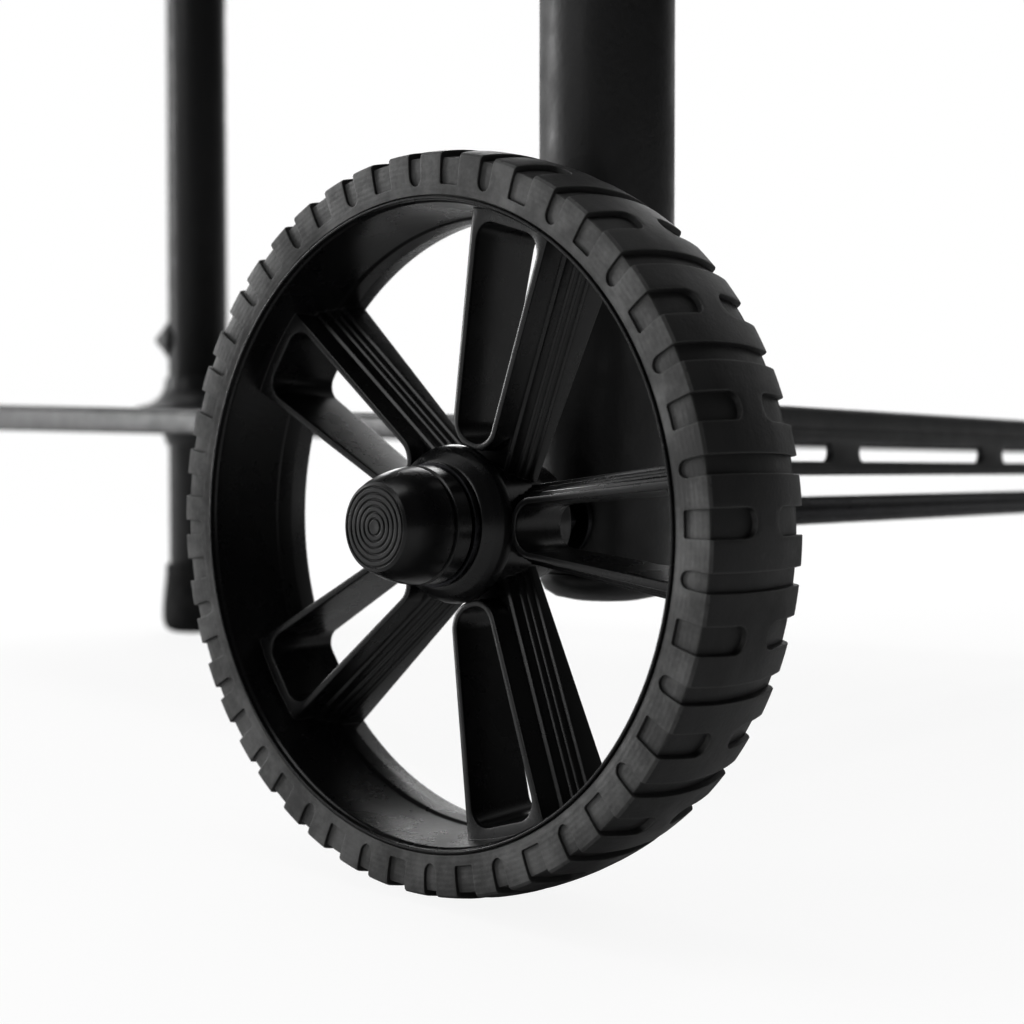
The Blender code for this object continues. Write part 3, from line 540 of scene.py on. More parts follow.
GLOSS = moulded_gloss()
RUBBER = tread_rubber()
POWDER = powder_coat("powder_coat", (0.0055, 0.0055, 0.006), (0.010, 0.010, 0.0105), 0.36, 0.50)
SHELF = powder_coat("shelf_coat", (0.022, 0.022, 0.023), (0.034, 0.034, 0.035), 0.34, 0.46)
ZINC = steel("zinc_steel", (0.56, 0.56, 0.58), 0.28, 0.42)
OXIDE = steel("black_oxide", (0.035, 0.035, 0.038), 0.26, 0.40)
BODY = grained_plastic("body_plastic", (0.016, 0.016, 0.017), (0.024, 0.024, 0.025))
TRIM = grained_plastic("trim_plastic", (0.16, 0.165, 0.17), (0.20, 0.205, 0.21), 0.4, 0.55, 1200)
TRIM_BLACK = grained_plastic("black_trim", (0.010, 0.010, 0.0105), (0.015, 0.015, 0.015), 0.30,
                             0.42, 1500, 0.03)
BIN = grained_plastic("bin_plastic", (0.020, 0.020, 0.021), (0.032, 0.032, 0.033), 0.38, 0.55,
                      500, 0.12)
MARK = grained_plastic("mark_white", (0.60, 0.60, 0.58), (0.68, 0.68, 0.66), 0.5, 0.6, 2000, 0.02)
GREEN = soft_rubber("green_rubber", (0.28, 0.42, 0.03), (0.36, 0.50, 0.05))
GRIP = soft_rubber("grip_foam", (0.012, 0.012, 0.0125), (0.022, 0.022, 0.022), 900, 0.15)
FOOT = soft_rubber("foot_rubber", (0.017, 0.017, 0.0175), (0.028, 0.028, 0.028))


# ---------------------------------------------------------------- tyre
WHEEL_PLACE = along((FACE_X, AXLE_Y, AXLE_Z), (-1, 0, 0))
LIP_RADIUS, BEAD_RADIUS, SHOULDER_RADIUS = 67.2 * MM, 66.98 * MM, 75.5 * MM
CROWN_RADIUS = (high("tyre_left").z - low("tyre_left").z) / 2
TYRE_WIDTH = high("tyre_left").x - low("tyre_left").x
SIDEWALL = SHOULDER_RADIUS - LIP_RADIUS
GROOVE_PAIRS = 23
GROOVE_DEPTH, TREAD_DEPTH = 1.2 * MM, 2.2 * MM
FIRST_GROOVE = 9.45                    # degrees above the horizontal, seen from outside
GROOVE_UNIT = 2 * math.pi * CROWN_RADIUS / GROOVE_PAIRS
SHOULDER_BLEND = 2.4 * MM              # half of the distance in which the section turns over
SHOULDER_EDGE = 0.22 * MM


def tyre_point(v, depth):
    """Radius and inboard depth of a point a distance v round the tyre's section.

    v is 0 at the outer shoulder, TYRE_WIDTH at the inner one, and negative on the sidewall.
    A groove is about half as deep on the sidewall as on the tread.
    """
    if v > TYRE_WIDTH / 2:
        radius, inboard = tyre_point(TYRE_WIDTH - v, depth)
        return radius, TYRE_WIDTH - inboard
    if v >= 0:
        t = 1 - v / (TYRE_WIDTH / 2)
        radius, inboard = SHOULDER_RADIUS + (CROWN_RADIUS - SHOULDER_RADIUS) * (1 - t ** 2.2), v
    else:
        radius, inboard = SHOULDER_RADIUS + v, 0.9 * MM * (v / SIDEWALL) ** 2
    corner = max(0.0, 1 - abs(v) / (0.7 * MM))
    radius -= SHOULDER_EDGE * corner ** 2
    inboard += SHOULDER_EDGE * corner ** 2
    t = min(1.0, max(0.0, (v + SHOULDER_BLEND) / (2 * SHOULDER_BLEND)))
    lean = (t * t * (3 - 2 * t)) * math.pi / 2
    depth *= 0.55 + 0.45 * math.sin(lean)
    return radius - depth * math.sin(lean), inboard + depth * math.cos(lean)


def groove_outlines():
    """One through groove across the tread, and a pair of half grooves from its shoulders."""
    across = slot((0.0, 0.0), TYRE_WIDTH + 13.0 * MM, 3.6 * MM, 8)
    through = [(-y, x + TYRE_WIDTH / 2) for x, y in across]
    square, blunt = 0.5 * MM, 2.5 * MM
    outlines = [[(x + GROOVE_UNIT / 4, y) for x, y in through]]
    for start, end, radii in ((-6.2, 11.5, (square, square, blunt, blunt)),
                              (18.5, 36.2, (blunt, blunt, square, square))):
        half = rounded(mm((-2.75, start), (2.75, start), (2.75, end), (-2.75, end)), radii, 6)
        outlines.append([(x - GROOVE_UNIT / 4, y) for x, y in half])
    return outlines


def cut(work, where, axis, **clear):
    """Split a bmesh by the plane across an axis, clearing one side if asked."""
    bmesh.ops.bisect_plane(work, geom=work.verts[:] + work.edges[:] + work.faces[:],
                           plane_co=Vector(axis) * where, plane_no=axis, **clear)


def tyre():
    """Carcass turned to the groove floor, and a tread layer of lugs wrapped round it."""
    steps = [-SIDEWALL, -SIDEWALL * 0.7, -SIDEWALL * 0.4, -2 * MM, -MM, -0.4 * MM, 0.0, 0.4 * MM,
             MM, 2 * MM]
    steps += [2 * MM + (TYRE_WIDTH / 2 - 2 * MM) * i / 6 for i in range(1, 7)]
    steps += [TYRE_WIDTH - v for v in reversed(steps[:-1])]
    floor = [tyre_point(v, GROOVE_DEPTH) for v in steps]
    section = [(BEAD_RADIUS, floor[0][1])] + floor + [(BEAD_RADIUS, floor[-1][1])]
    carcass = piece("tyre_carcass_left", lathe_data([(r, -s) for r, s in section], 184), RUBBER,
                    "tyre_left", 40, WHEEL_PLACE)
    half = GROOVE_UNIT / 2
    edge = rectangle(half + 2 * MM, SIDEWALL + TYRE_WIDTH / 2, 0, (0, TYRE_WIDTH / 2))
    work = bmesh.new()
    work.from_mesh(sheet_mesh([edge] + groove_outlines(), TREAD_DEPTH, 0.16 * MM))
    bmesh.ops.remove_doubles(work, verts=work.verts, dist=WELD)
    cut(work, -half, (1, 0, 0), clear_inner=True)
    cut(work, half, (1, 0, 0), clear_outer=True)
    for i in range(1, 14):
        cut(work, -half + GROOVE_UNIT * i / 14, (1, 0, 0))
    for v in steps[1:-1]:
        cut(work, v, (0, 1, 0))
    flat, flat_faces = points_and_faces(work)
    verts, faces = [], []
    for k in range(GROOVE_PAIRS):
        turn = math.radians(FIRST_GROOVE) - 2 * math.pi * (k + 0.25) / GROOVE_PAIRS
        start = len(verts)
        for x, v, z in flat:
            radius, inboard = tyre_point(v, TREAD_DEPTH / 2 - z)
            angle = turn + x / CROWN_RADIUS
            verts.append((radius * math.cos(angle), radius * math.sin(angle), -inboard))
        faces += [tuple(i + start for i in face) for face in flat_faces]
    tread = piece("tread_left", (verts, faces), RUBBER, "tyre_left", 30, WHEEL_PLACE)
    return carcass, tread


# ---------------------------------------------------------------- rim
SPOKE_PAIRS = 5
PAIR_ANGLE = -0.65                     # degrees, first pair of spokes seen from outside
WINDOW_IN, WINDOW_OUT = 18.3 * MM, 63.2 * MM
WINDOW_HALF_IN, WINDOW_HALF_OUT = 4.6 * MM, 8.9 * MM
CORNER_IN, CORNER_OUT = 4.3 * MM, 4.0 * MM
SPOKE_BACK = 27.5 * MM
SPOKE_ROOT = 66.1 * MM                 # the spokes end inside the barrel wall
HUB_ROOT = 11.2 * MM                   # and their stepped sides inside the hub
# Spoke section: outward from the window edge, and back from the spoke's front, in millimetres
SPOKE_SECTION = [(-0.35, None), (-0.1, 0.8), (0.0, 0.36), (0.1, 0.1), (0.36, 0.0), (1.16, 0.0),
                 (1.42, 0.1), (1.52, 0.36), (1.58, 5.2), (1.68, 5.56), (2.0, 5.7), (2.36, 5.84),
                 (2.56, 6.2), (2.62, 8.0), (2.72, 8.26), (3.05, 8.36), (3.26, 8.5), (3.3, 9.5),
                 (3.4, 9.74), (3.74, 9.84), (3.94, 10.0), (3.98, 11.2), (4.08, 11.4),
                 (4.5, 11.5), (4.74, 11.64), (4.8, 11.9), (4.85, None)]


def spoke_front(radius):
    """Inboard depth of the spokes' front face, which is dished towards the hub."""
    return (13.6 - 0.093 * (radius / MM - 18)) * MM


def pair_loop(reach):
    """Closed outline a reach outside the window between two spokes; 0 is the window itself.

    The window's own corners are round. Outside it the spokes run straight into the barrel,
    and further out also straight into the hub.
    """
    lean = math.atan2(WINDOW_HALF_OUT - WINDOW_HALF_IN, WINDOW_OUT - WINDOW_IN)
    side = 90.0 + math.degrees(lean)
    corner_in = Vector((WINDOW_IN + CORNER_IN, WINDOW_HALF_IN + 0.35 * MM - CORNER_IN))
    corner_out = Vector((WINDOW_OUT - CORNER_OUT, WINDOW_HALF_OUT - 0.35 * MM - CORNER_OUT))
    near, far = reach * 0.92, reach * 1.16
    half = arc(corner_in, CORNER_IN + near, 180.0, side, 8)
    if reach > 1.6 * MM:
        root = Vector((HUB_ROOT, half[-1][1]))
        root.y -= (half[-1][0] - HUB_ROOT) * math.tan(lean)
        half = [(HUB_ROOT, root.y * k / 8) for k in range(9)]
    if reach <= 0.36 * MM:
        half += arc(corner_out, CORNER_OUT + far, side, 0, 8)
    else:
        first = Vector(arc(corner_out, CORNER_OUT + far, side, side, 1)[0])
        run = (first - Vector(half[-1])).normalized()
        along_run = first.dot(run)
        length = -along_run + math.sqrt(along_run ** 2 + SPOKE_ROOT ** 2 - first.length_squared)
        hit = first + run * length
        half += [tuple(first.lerp(hit, k / 4)) for k in range(4)]
        bearing = math.degrees(math.atan2(hit.y, hit.x))
        inner = math.degrees(math.atan2(corner_out.y, WINDOW_OUT))
        half += arc((0, 0), SPOKE_ROOT, bearing, inner, 4)
    return [Vector(p) for p in half] + [Vector((x, -y)) for x, y in reversed(half)]


def pair_frame():
    """One pair of spokes: the stepped section carried round its window."""
    verts = []
    for outward, depth in SPOKE_SECTION:
        loop = pair_loop(outward * MM)
        for point in loop:
            front = spoke_front(point.x)
            verts.append((*point, -SPOKE_BACK if depth is None else -front - depth * MM))
    return verts, ring_faces(len(SPOKE_SECTION), len(loop))


def rim():
    """Barrel, hub and five pairs of spokes, moulded in one piece."""
    barrel = mm((66.9, -0.5), (66.9, -29.5), (66.3, -29.5), (65.1, -24.0), (65.0, -20.0),
                (65.5, -19.4), (65.7, -9.0), (65.85, -2.2), (66.25, -1.5), (66.3, -0.5))
    hub = mm((4.3, -9.1), (13.2, -9.1), (13.7, -9.4), (15.4, -10.9), (16.5, -12.4), (16.9, -13.6),
             (16.9, -14.6), (15.0, -15.6), (14.6, -29.6), (13.9, -30.1), (13.4, -30.8),
             (13.2, -37.6), (12.7, -38.0), (4.3, -38.0))
    parts = [(lathe_data(soften(barrel, 0.3 * MM), 160), FLAT),
             (lathe_data(soften(hub, 0.3 * MM)), FLAT)]
    spokes = pair_frame()
    for i in range(SPOKE_PAIRS):
        angle = math.radians(PAIR_ANGLE + 360 / SPOKE_PAIRS * i)
        parts.append((spokes, Matrix.Rotation(angle, 4, "Z")))
    return piece("spoked_rim_left", merged(parts), GLOSS, "rim_left", 32, WHEEL_PLACE)


def hub_fittings():
    """Domed hub cap with its ringed face, washers and the lock nut, on both sides."""
    face = 8.5 * MM
    cap = [(0.0, face - 0.1 * MM)]
    for i in range(6):
        cap += mm((0, 0), (0.42, 0), (0.58, -0.28), (0.80, -0.28), (0.96, 0),
                  out=(1.0 + 1.28 * i) * MM, up=face)
    cap += mm((8.4, 8.5), (9.1, 8.1), (10.1, 6.2), (11.1, 3.6), (11.85, 0.8), (12.2, -1.4),
              (12.25, -1.9), (12.0, -2.2), (11.5, -2.3), (11.45, -2.9), (11.9, -3.1),
              (12.35, -3.3), (12.45, -7.0), (12.2, -7.25), (4.25, -7.25), (4.25, 5.1), (0, 5.1))
    for label, side in SIDES:
        origin, out = Vector((side * -FACE_X, AXLE_Y, AXLE_Z)), Vector((side, 0, 0))
        lathe(f"domed_cap_{label}", cap, GLOSS, f"hub_cap_{label}", origin, out, smooth=28)
        for name, node, radius, start, end, segments in (
                ("thrust_washer", "washer_outer", 13.1, -7.5, -8.95, 96),
                ("leg_washer", "washer_inner", 9.0, -48.8, -50.2, 64)):
            ring = soften(mm((radius, start), (radius, end), (4.25, end), (4.25, start)), 0.2 * MM)
            lathe(f"{name}_{label}", ring, OXIDE, f"{node}_{label}", origin, out, segments)
        lock_nut(label, origin - out * 43.2 * MM, out)


def lock_nut(label, origin, out):
    """Six-sided nut with its edges eased."""
    corners = [math.radians(60 * i) for i in range(6)]
    hexagon = rounded([(7.8 * MM * math.cos(a), 7.8 * MM * math.sin(a)) for a in corners],
                      0.4 * MM, 2)
    sheet(f"flange_nut_{label}", [hexagon, circle((0, 0), 4.3 * MM, 32)], 6.2 * MM, OXIDE,
          f"lock_nut_{label}", along(origin, out), 0.5 * MM)


rim_left = rim()
carcass_left, tread_left = tyre()
mirrored(rim_left, "spoked_rim_right", "rim_right")
mirrored(tread_left, "tread_right", "tyre_right")
mirrored(carcass_left, "tyre_carcass_right", "tyre_right")
hub_fittings()


# ---------------------------------------------------------------- undercarriage
SHELF_TILT = math.radians(2.4)
SHELF_SHEET = 3.0 * MM
REAR_WALL = 13.5 * MM                  # height of the tray's rear wall
RIM_HEIGHT = 5.5 * MM                  # of the raised rear rim above the deck
SIDE_SKIRT = 12.0 * MM                 # height of the skirt, half of it beside the wheels
SKIRT_RAMP_START, SKIRT_RAMP = 0.085, 0.035   # ahead of the axle, where it gets its full height
SHELF_FRONT_X, SHELF_CORNER = 157 * MM, 30 * MM
SLOT_COUNT, SLOT_WIDTH = 13, 14 * MM
FIRST_SLOT_Y = 0.030                   # ahead of the axle
SLOTLESS_LENGTH = 0.075                # of the deck up to the front leg, not shared by the slots
SLOT_SIDE_MARGIN, SLOT_MIDDLE_MARGIN = 0.034, 0.014


def leg_tubes():
    """Round powder-coated tubes with a rolled lower edge."""
    for node in ("leg_left", "leg_right", "leg_front"):
        place, bottom, top = centre(node), low(node).z, high(node).z
        profile = (mm((0, 0), out=LEG_RADIUS, up=top)
                   + mm((0, 0.5), (-0.15, 0.12), (-0.5, 0), (-1.5, 0), out=LEG_RADIUS, up=bottom)
                   + mm((-1.5, 0), out=LEG_RADIUS, up=top))
        lathe(f"{node}_tube", profile, POWDER, node, (place.x, place.y, 0))


def leg_ends():
    """Domed plugs under the wheel legs and a ribbed rubber cap under the front leg."""
    for label, place in (("left", LEG_LEFT), ("right", LEG_RIGHT)):
        node = f"leg_plug_{label}"
        profile = mm((0, 15), (14, 15), (14, 7.1), (15.7, 6.9), (15.9, 6.4), (15.7, 4.8),
                     (14.6, 2.9), (12.2, 1.4), (8, 0.5), (3, 0.05), (0, 0), up=low(node).z)
        lathe(f"domed_plug_{label}", profile, TRIM_BLACK, node, (place.x, place.y, 0))
    inner = LEG_RADIUS + 0.2 * MM
    cap = [(0, 9.6 * MM), (inner, 9.6 * MM), (inner, 37.0 * MM), (inner + 0.3 * MM, 37.4 * MM)]
    cap += mm((17.7, 37.2), (17.9, 36.4))
    for i in range(4):
        cap += mm((0, 0), (-0.3, -0.3), (-0.3, -1.0), (0.1, -1.3), out=(18.0 + 0.25 * i) * MM,
                  up=(33.4 - 2.6 * i) * MM)
    cap += mm((19.4, 18), (19.8, 12), (19.8, 8), (19.2, 4.2), (17.6, 1.6), (15, 0.3), (12, 0),
              (0, 0))
    lathe("ribbed_foot", cap, FOOT, "foot_front", (LEG_FRONT.x, LEG_FRONT.y, 0))


def inward(outline, i, depth):
    """Point i of a closed outline moved to its inner side."""
    before, here, after = (Vector(outline[(i + k) % len(outline)]) for k in (-1, 0, 1))
    a, b = (here - before).normalized(), (after - here).normalized()
    run = (a + b).normalized()
    area = sum(p[0] * q[1] - q[0] * p[1] for p, q in zip(outline, outline[1:] + outline[:1]))
    side = Vector((-run.y, run.x)) * (1 if area > 0 else -1)
    return tuple(here + side * depth / max(0.4, run.dot(a)))


def shelf():
    """Slotted tray: deck, turned-down skirt, raised rear rim and the rear wall with its windows."""
    notch = LEG_RADIUS + 0.7 * MM
    reach = LEG_RIGHT.x
    front = (high("shelf_tray").y - 0.7 * MM - AXLE_Y) / math.cos(SHELF_TILT)
    left_arc = arc((-reach, 0), notch, 90, 0, 10)
    right_arc = arc((reach, 0), notch, 180, 90, 10)
    corners = rounded([(0, 0), (reach, notch), (SHELF_FRONT_X, front), (-SHELF_FRONT_X, front),
                       (-reach, notch)], SHELF_CORNER, 12)
    edge = [p for p in corners if p[1] > front - 0.08]
    outline = left_arc + right_arc + edge
    leg_hole = circle((0, (LEG_FRONT.y - AXLE_Y) / math.cos(SHELF_TILT)), notch + 0.6 * MM, 64)
    slots = []
    pitch = (LEG_FRONT.y - AXLE_Y - SLOTLESS_LENGTH) / SLOT_COUNT
    for i in range(SLOT_COUNT):
        y = FIRST_SLOT_Y + pitch * i
        half = reach + (SHELF_FRONT_X - reach) * y / front - SLOT_SIDE_MARGIN
        for side in (-1, 1):
            slots.append(slot((side * half / 2, y), half - SLOT_MIDDLE_MARGIN, SLOT_WIDTH))
    rear_top = low("shelf_tray").z + REAR_WALL + 0.5 * MM
    tilt = at(0, AXLE_Y, rear_top) @ Matrix.Rotation(SHELF_TILT, 4, "X")
    sheet("tray_deck", [outline, leg_hole] + slots, SHELF_SHEET, SHELF, "shelf_tray",
          tilt @ at(0, 0, -SHELF_SHEET / 2), MM)
    loop = right_arc + edge + left_arc
    band = loop + [inward(outline, outline.index(p), 2.5 * MM) for p in reversed(loop)]
    skirt = sheet_mesh([band], SIDE_SKIRT, MM)
    for vertex in skirt.vertices:
        deep = 0.5 + 0.5 * min(1.0, max(0.0, (vertex.co.y - SKIRT_RAMP_START) / SKIRT_RAMP))
        vertex.co.z = -0.1 * MM + (vertex.co.z - SIDE_SKIRT / 2) * deep
    skirt.transform(tilt)
    finish_piece("tray_skirt", skirt, SHELF, "shelf_tray")
    rear = rectangle(reach - notch + 0.6 * MM, 2.0 * MM, 0, (0, 2.6 * MM))
    sheet("tray_rear_rim", [rear], RIM_HEIGHT + SHELF_SHEET, SHELF, "shelf_tray",
          tilt @ at(0, 0, (RIM_HEIGHT - SHELF_SHEET) / 2), 1.6 * MM)
    wall = rectangle(reach - notch, REAR_WALL / 2 - 0.1 * MM)
    windows = [slot((x, 0), 86 * MM, 5.4 * MM, 8) for x in (-0.153, -0.051, 0.051, 0.153)]
    turn = (at(0, AXLE_Y + 1.3 * MM, rear_top - REAR_WALL / 2 - 0.6 * MM)
            @ Matrix.Rotation(math.radians(90), 4, "X"))
    sheet("tray_rear_wall", [wall] + windows, 2.4 * MM, SHELF, "shelf_tray", turn)


def collar(name, profile, node):
    """Turned flare on the front leg, its wide end cut parallel to the tilted tray."""
    verts, faces = lathe_data(profile)
    wide = max(profile)[1]
    narrow = max((z for _, z in profile), key=lambda z: abs(z - wide))
    slope = math.tan(SHELF_TILT)
    cut_verts = [(x, y, z + y * slope * (z - narrow) / (wide - narrow)) for x, y, z in verts]
    piece(name, (cut_verts, faces), SHELF, node, place=at(LEG_FRONT.x, LEG_FRONT.y, 0))


def front_leg_fittings():
    """Flared collars that hold the tray on the front leg, and the domed bolt cap."""
    inner = LEG_RADIUS + 0.3 * MM
    foot, top = low("shelf_collar_top").z, high("shelf_collar_top").z
    flare = mm((17.3, 0), (17.7, -0.6), (18.3, -5), (19.6, -8.6), (22.0, -11.8), (25.6, -14.4),
               (30.0, -16.1), up=top)
    flare += mm((33.6, 0.5), (34.0, 0), (33.8, -0.5), up=foot)
    collar("tray_collar_upper", [(inner, top)] + flare + [(inner, foot - 0.5 * MM)],
           "shelf_collar_top")
    foot, top = low("shelf_collar_bottom").z, high("shelf_collar_bottom").z
    flare = mm((27.4, 0), (27.9, -0.5), (25.0, -1.6), (21.6, -3.9), (19.2, -7.4), (17.9, -10.5),
               up=top)
    flare += mm((17.5, 0.6), (17.2, 0), up=foot)
    collar("tray_collar_lower", [(inner, top)] + flare + [(inner, foot)], "shelf_collar_bottom")
    dome = mm((0, 7.0), (1.4, 6.8), (3.0, 5.5), (5.4, 3.4), (8.2, 1.5), (10.6, -0.3),
              (11.0, -4.5), (0, -4.5))
    outward = Vector((-1, 1, 0)).normalized()
    start = Vector((LEG_FRONT.x, LEG_FRONT.y, centre("bolt_cap_front").z))
    lathe("bolt_dome", dome, TRIM_BLACK, "bolt_cap_front", start + outward * LEG_RADIUS, outward)


def axle_rod():
    """Axle with chamfered ends."""
    reach = high("axle").x
    rod = mm((0, 0), (3.5, 0), (4, -0.5), up=reach) + mm((4, 0.5), (3.5, 0), (0, 0), up=-reach)
    lathe("axle_rod", rod, OXIDE, "axle", (0, AXLE_Y, AXLE_Z), (1, 0, 0), 48)


# ---------------------------------------------------------------- platform and turntable
SOCKET_BOTTOM, SOCKET_BOLT_Z = 0.545, 0.5535
ROLLER_NECK_Z = 0.5910


def platform():
    """Pressed plate with a turned-down edge and a socket for each leg."""
    node = "top_platform"
    top, rear, front = high(node).z, low(node).y, high(node).y
    side, front_side = 252 * MM, 75 * MM
    outline = rounded([(-side, rear), (side, rear), (front_side, front), (-front_side, front)],
                      22 * MM, 12)
    roller = centre("drive_roller")
    holes = [circle((0, TURRET.y), 6.3 * MM), circle((roller.x, roller.y), 4.4 * MM, 32)]
    holes += [circle((x, -0.120), 12 * MM) for x in (-0.150, 0.150)]
    sheet("platform_plate", [outline] + holes, 4 * MM, POWDER, node, at(0, 0, top - 2 * MM),
          1.3 * MM)
    inner = [inward(outline, i, 2.2 * MM) for i in range(len(outline))]
    sheet("platform_flange", [outline, inner], 22 * MM, POWDER, node, at(0, 0, top - 13 * MM),
          0.8 * MM)
    shoulder = top - 3.5 * MM
    socket = soften([(19.3 * MM, shoulder), (19.3 * MM, SOCKET_BOTTOM), (16.3 * MM, SOCKET_BOTTOM),
                     (16.3 * MM, shoulder)], 0.7 * MM)
    for i, place in enumerate((LEG_LEFT, LEG_RIGHT, LEG_FRONT)):
        lathe(f"leg_socket_{i}", socket, POWDER, node, (place.x, place.y, 0), segments=64)
        hex_bolt(f"socket_bolt_{i}", (place.x, place.y - 19.2 * MM, SOCKET_BOLT_Z), REARWARD,
                 4.2 * MM, 2.6 * MM, node)


def hex_bolt(name, origin, direction, radius, height, node):
    """Hexagonal bolt head with a washer face and a chamfered crown."""
    washer = lathe_data([(radius * 1.18, 0), (radius * 1.18, height * 0.22),
                         (radius * 1.12, height * 0.3), (0, height * 0.3), (0, 0)], 36)
    head = lathe_data([(radius, height * 0.3), (radius, height * 0.88), (radius * 0.86, height),
                       (0, height), (0, height * 0.3)], 6)
    piece(name, merged([(washer, FLAT), (head, FLAT)]), ZINC, node, 30, along(origin, direction))


def turntable():
    """Bearing race, turning plate, centre bolt, drive roller and motor."""
    place = (TURRET.x, TURRET.y, 0)
    foot, top = low("turntable_race").z, high("turntable_race").z
    race = (mm((110, 0), (110, -1.4), (108.4, -2.2), up=top)
            + mm((108.4, 2.2), (110, 1.4), (110, 0), (95, 0), up=foot) + mm((95, 0), up=top))
    lathe("bearing_race", soften(race, 0.4 * MM), ZINC, "turntable_race", place, segments=128)
    foot, top = low("turntable_plate").z, high("turntable_plate").z
    disc = (mm((6.5, 0), (128.6, 0), (130, -1.2), up=top)
            + mm((130, 1.2), (128.6, 0), (6.5, 0), up=foot))
    lathe("turning_plate", disc, BODY, "turntable_plate", place, segments=128)
    foot, top = low("turntable_bolt").z, high("turntable_bolt").z
    shank = mm((0, -5.2), (6, -5.2), up=top)
    shank += mm((6, 6), (9.6, 6), (10, 5.6), (10, 0.5), (9.5, 0), (0, 0), up=foot)
    lathe("centre_bolt_shank", shank, ZINC, "turntable_bolt", place, segments=48)
    hex_bolt("centre_bolt_head", (TURRET.x, TURRET.y, top - 5.4 * MM), (0, 0, 1), 8.4 * MM,
             5.4 * MM, "turntable_bolt")
    roller = centre("drive_roller")
    foot, top = low("drive_roller").z, high("drive_roller").z
    wheel = mm((0, 0), (10.6, 0), (11.8, -0.5), up=top)
    for i in range(4):
        wheel += mm((12, 0), (12, -0.9), (11.5, -1.1), (11.5, -1.5), up=top - (1.1 + 1.7 * i) * MM)
    wheel += mm((11.4, 0), (4, 0), up=ROLLER_NECK_Z) + mm((4, 0), (0, 0), up=foot)
    lathe("drive_roller_tyre", wheel, FOOT, "drive_roller", (roller.x, roller.y, 0), segments=64)
    motor_body("sweep_motor_can", (roller.x, roller.y, high("sweep_motor").z), (0, 0, -1),
               18 * MM, 57.5 * MM, 19.5 * MM, "sweep_motor")


def motor_body(name, origin, direction, radius, length, bore_depth, node):
    """Motor can with a flanged nose, band seams, and a terminal boss at the back."""
    profile = [(4.3 * MM, 0)] + mm((-1.2, 0), (-0.2, 0.4), (0, 1.2), (0, 5), (-0.8, 5.6),
                                   (-0.8, 6.6), (0, 7.2), out=radius)
    profile += mm((0, -9), (-0.8, -8.4), (-0.8, -7.4), (0, -6.8), (0, -3.4), (-1.4, -1.6),
                  out=radius, up=length)
    profile += [(radius * 0.5, length - 1.2 * MM), (radius * 0.46, length), (0, length),
                (0, bore_depth), (4.3 * MM, bore_depth)]
    lathe(name, profile, TRIM, node, origin, direction, 64)


# ---------------------------------------------------------------- turret housing
HALF_WIDTH = high("side_panel_right").x
REAR, FRONT = low("rear_cover").y, high("front_cover").y
PAN_TOP, DECK = high("base_pan").z, high("rear_cover").z + 0.3 * MM
MIDDLE_Z = (PAN_TOP + DECK) / 2
TALL = (DECK - PAN_TOP) / 2 - 0.3 * MM
WALL = 3.0 * MM
DROP = Vector((0, -0.095, 0))          # middle of the hole that balls drop through
KNOBS = {"speed": -0.090, "spin": -0.035, "feed": 0.020}
KNOB_Z = centre("knob_speed").z
SWITCH_X = centre("power_switch").x
JACK_Z = centre("charge_socket").z
OUTLET_HALF, OUTLET_Z = (0.048, 0.0875), 0.7825
DOOR_HALF, DOOR_Z = (0.083, 0.050), 0.662
SCREW_X, SCREW_Y, SCREW_RISES = 0.152, 0.163, (-0.128, 0.0, 0.128)
BEAD = (2.4 * MM, 2.4 * MM)            # width of a moulded bead in each direction


def screws(name, places, direction, node):
    """Row of countersunk screws with a six-point recess, made as one piece."""
    radius = 3.4 * MM
    ring = lathe_data([(radius, 0.0), (radius * 0.96, 0.5 * MM), (radius * 0.72, 1.2 * MM),
                       (radius * 0.5, 1.35 * MM), (radius * 0.5, 0.4 * MM), (0, 0.4 * MM),
                       (0, 0)], 24)
    star = lathe_data([(radius * 0.5, 1.34 * MM), (radius * 0.34, 0.5 * MM),
                       (radius * 0.34, 0.3 * MM), (radius * 0.52, 0.3 * MM)], 6)
    heads = [(shape, along(p, direction)) for p in places for shape in (ring, star)]
    piece(name, merged(heads), OXIDE, node, 30)


def louvres(across, upward, rows, length):
    """Outlines of a block of long vent slots."""
    return [slot((across, upward + 8 * MM * (i - (rows - 1) / 2)), length, 3.2 * MM, 8)
            for i in range(rows)]


